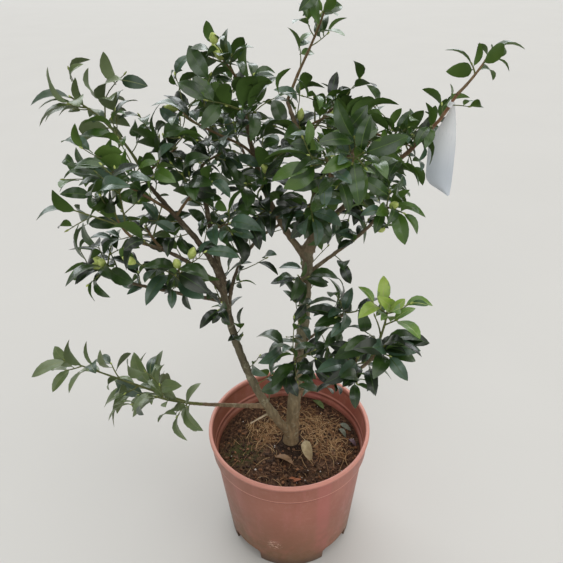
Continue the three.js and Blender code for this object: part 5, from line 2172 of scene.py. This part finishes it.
# Plain grained finishes: name, dark and light shade, grain size and roughness
TWIG_GRAINS = (
    ("twig_brown", (98, 78, 54), (128, 106, 76), 6, 0.7),
    ("twig_green", (84, 92, 50), (112, 116, 64), 7, 0.6),
)
BUD_GRAINS = (
    ("bud_green", (176, 194, 96), (212, 222, 138), 5, 0.45),
    ("slim_bud_green", (116, 128, 62), (150, 156, 84), 4, 0.55),
    ("brown_shoot_bud", (62, 44, 32), (92, 68, 46), 4, 0.6),
)
CRUMB_GRAINS = (
    ("dark_crumb", (40, 29, 23), (74, 54, 41), 3),
    ("brown_crumb", (96, 70, 52), (134, 102, 78), 3),
    ("bark_crumb", (122, 82, 56), (156, 114, 82), 3),
    ("perlite", (206, 202, 194), (236, 232, 226), 2, 0.9),
)
FIBRE_GRAINS = (
    ("coir_brown", (144, 108, 74), (178, 138, 98), 4),
    ("coir_tan", (190, 156, 112), (220, 188, 142), 4),
    ("coir_dark", (92, 64, 46), (120, 88, 64), 4),
)
LITTER_GRAINS = (
    ("withered_brown", (112, 86, 62), (152, 120, 90), 7, 0.6),
    ("withered_beige", (156, 138, 104), (188, 170, 134), 7, 0.6),
    ("withered_orange", (130, 74, 46), (166, 100, 62), 6, 0.6),
    ("withered_olive", (84, 104, 62), (108, 124, 78), 8, 0.55),
    ("withered_grey", (96, 104, 88), (128, 130, 116), 6, 0.6),
    ("withered_purple", (92, 74, 84), (122, 102, 108), 5, 0.6),
)


def grains(rows):
    return [grain_finish(*row) for row in rows]


def leaf_finishes(tint):
    """Three greens, then the midrib and the underside."""
    rib, deep, light = RIBS_AND_BACKS[tint]
    return [leaf_finish(*row) for row in BLADES[tint]] + [
        vein_finish(tint + "_leaf_rib", rib),
        underside_finish(tint + "_leaf_back", deep, light),
    ]


def hand_in(piece, material, *nodes):
    """Rides a piece on the body and hides the solids that it is shown for. The material is not used."""
    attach(piece, "root")
    if nodes:
        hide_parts(*nodes)


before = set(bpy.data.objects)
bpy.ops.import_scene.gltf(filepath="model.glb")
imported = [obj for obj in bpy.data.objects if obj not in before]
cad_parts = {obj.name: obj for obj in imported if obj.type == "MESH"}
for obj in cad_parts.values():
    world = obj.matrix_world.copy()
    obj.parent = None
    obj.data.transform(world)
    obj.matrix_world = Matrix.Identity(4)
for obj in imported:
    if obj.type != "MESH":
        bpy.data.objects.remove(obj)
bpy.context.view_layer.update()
make_camera()
make_floor()
make_light()

limbs = grow_limbs()
masses = grow_masses(limbs)
roll_leaves(masses)
add_spurs(limbs, masses)

stub_end = stub_walk(limbs, STUB_ROWS[1])[1][-1]
old_bark = bark_finish("grey_brown_bark", *OLD_BARK, stub_end)
new_bark = bark_finish("brown_young_bark", *NEW_BARK)
hand_in(make_trunk(limbs, old_bark), "bark", "trunk", "second_stem")
boughs = [name for name in limbs if name not in ("trunk", "second_stem")]
hand_in(make_boughs(limbs, boughs, new_bark), "young_bark", *boughs)

for tint in BLADES:
    tinted = [mass for mass in masses if mass["tint"] == tint]
    leaves = make_leaves(tint + "_leaves", tinted, leaf_finishes(tint))
    hand_in(leaves, tint + "_leaf", *[mass["name"] for mass in tinted])
hand_in(make_twigs(masses, grains(TWIG_GRAINS)), "young_bark")
hand_in(make_buds(masses, grains(BUD_GRAINS)), "young_leaf")

hand_in(make_pot(pot_finish()), "terracotta", "pot")
hand_in(make_soil(soil_finish()), "soil", "soil")
hand_in(make_crumbs(grains(CRUMB_GRAINS)), "soil")
hand_in(make_fibres(grains(FIBRE_GRAINS)), "soil")
hand_in(make_litter(grains(LITTER_GRAINS)), "soil")
hand_in(make_label(limbs, label_finish()), "label", "label")
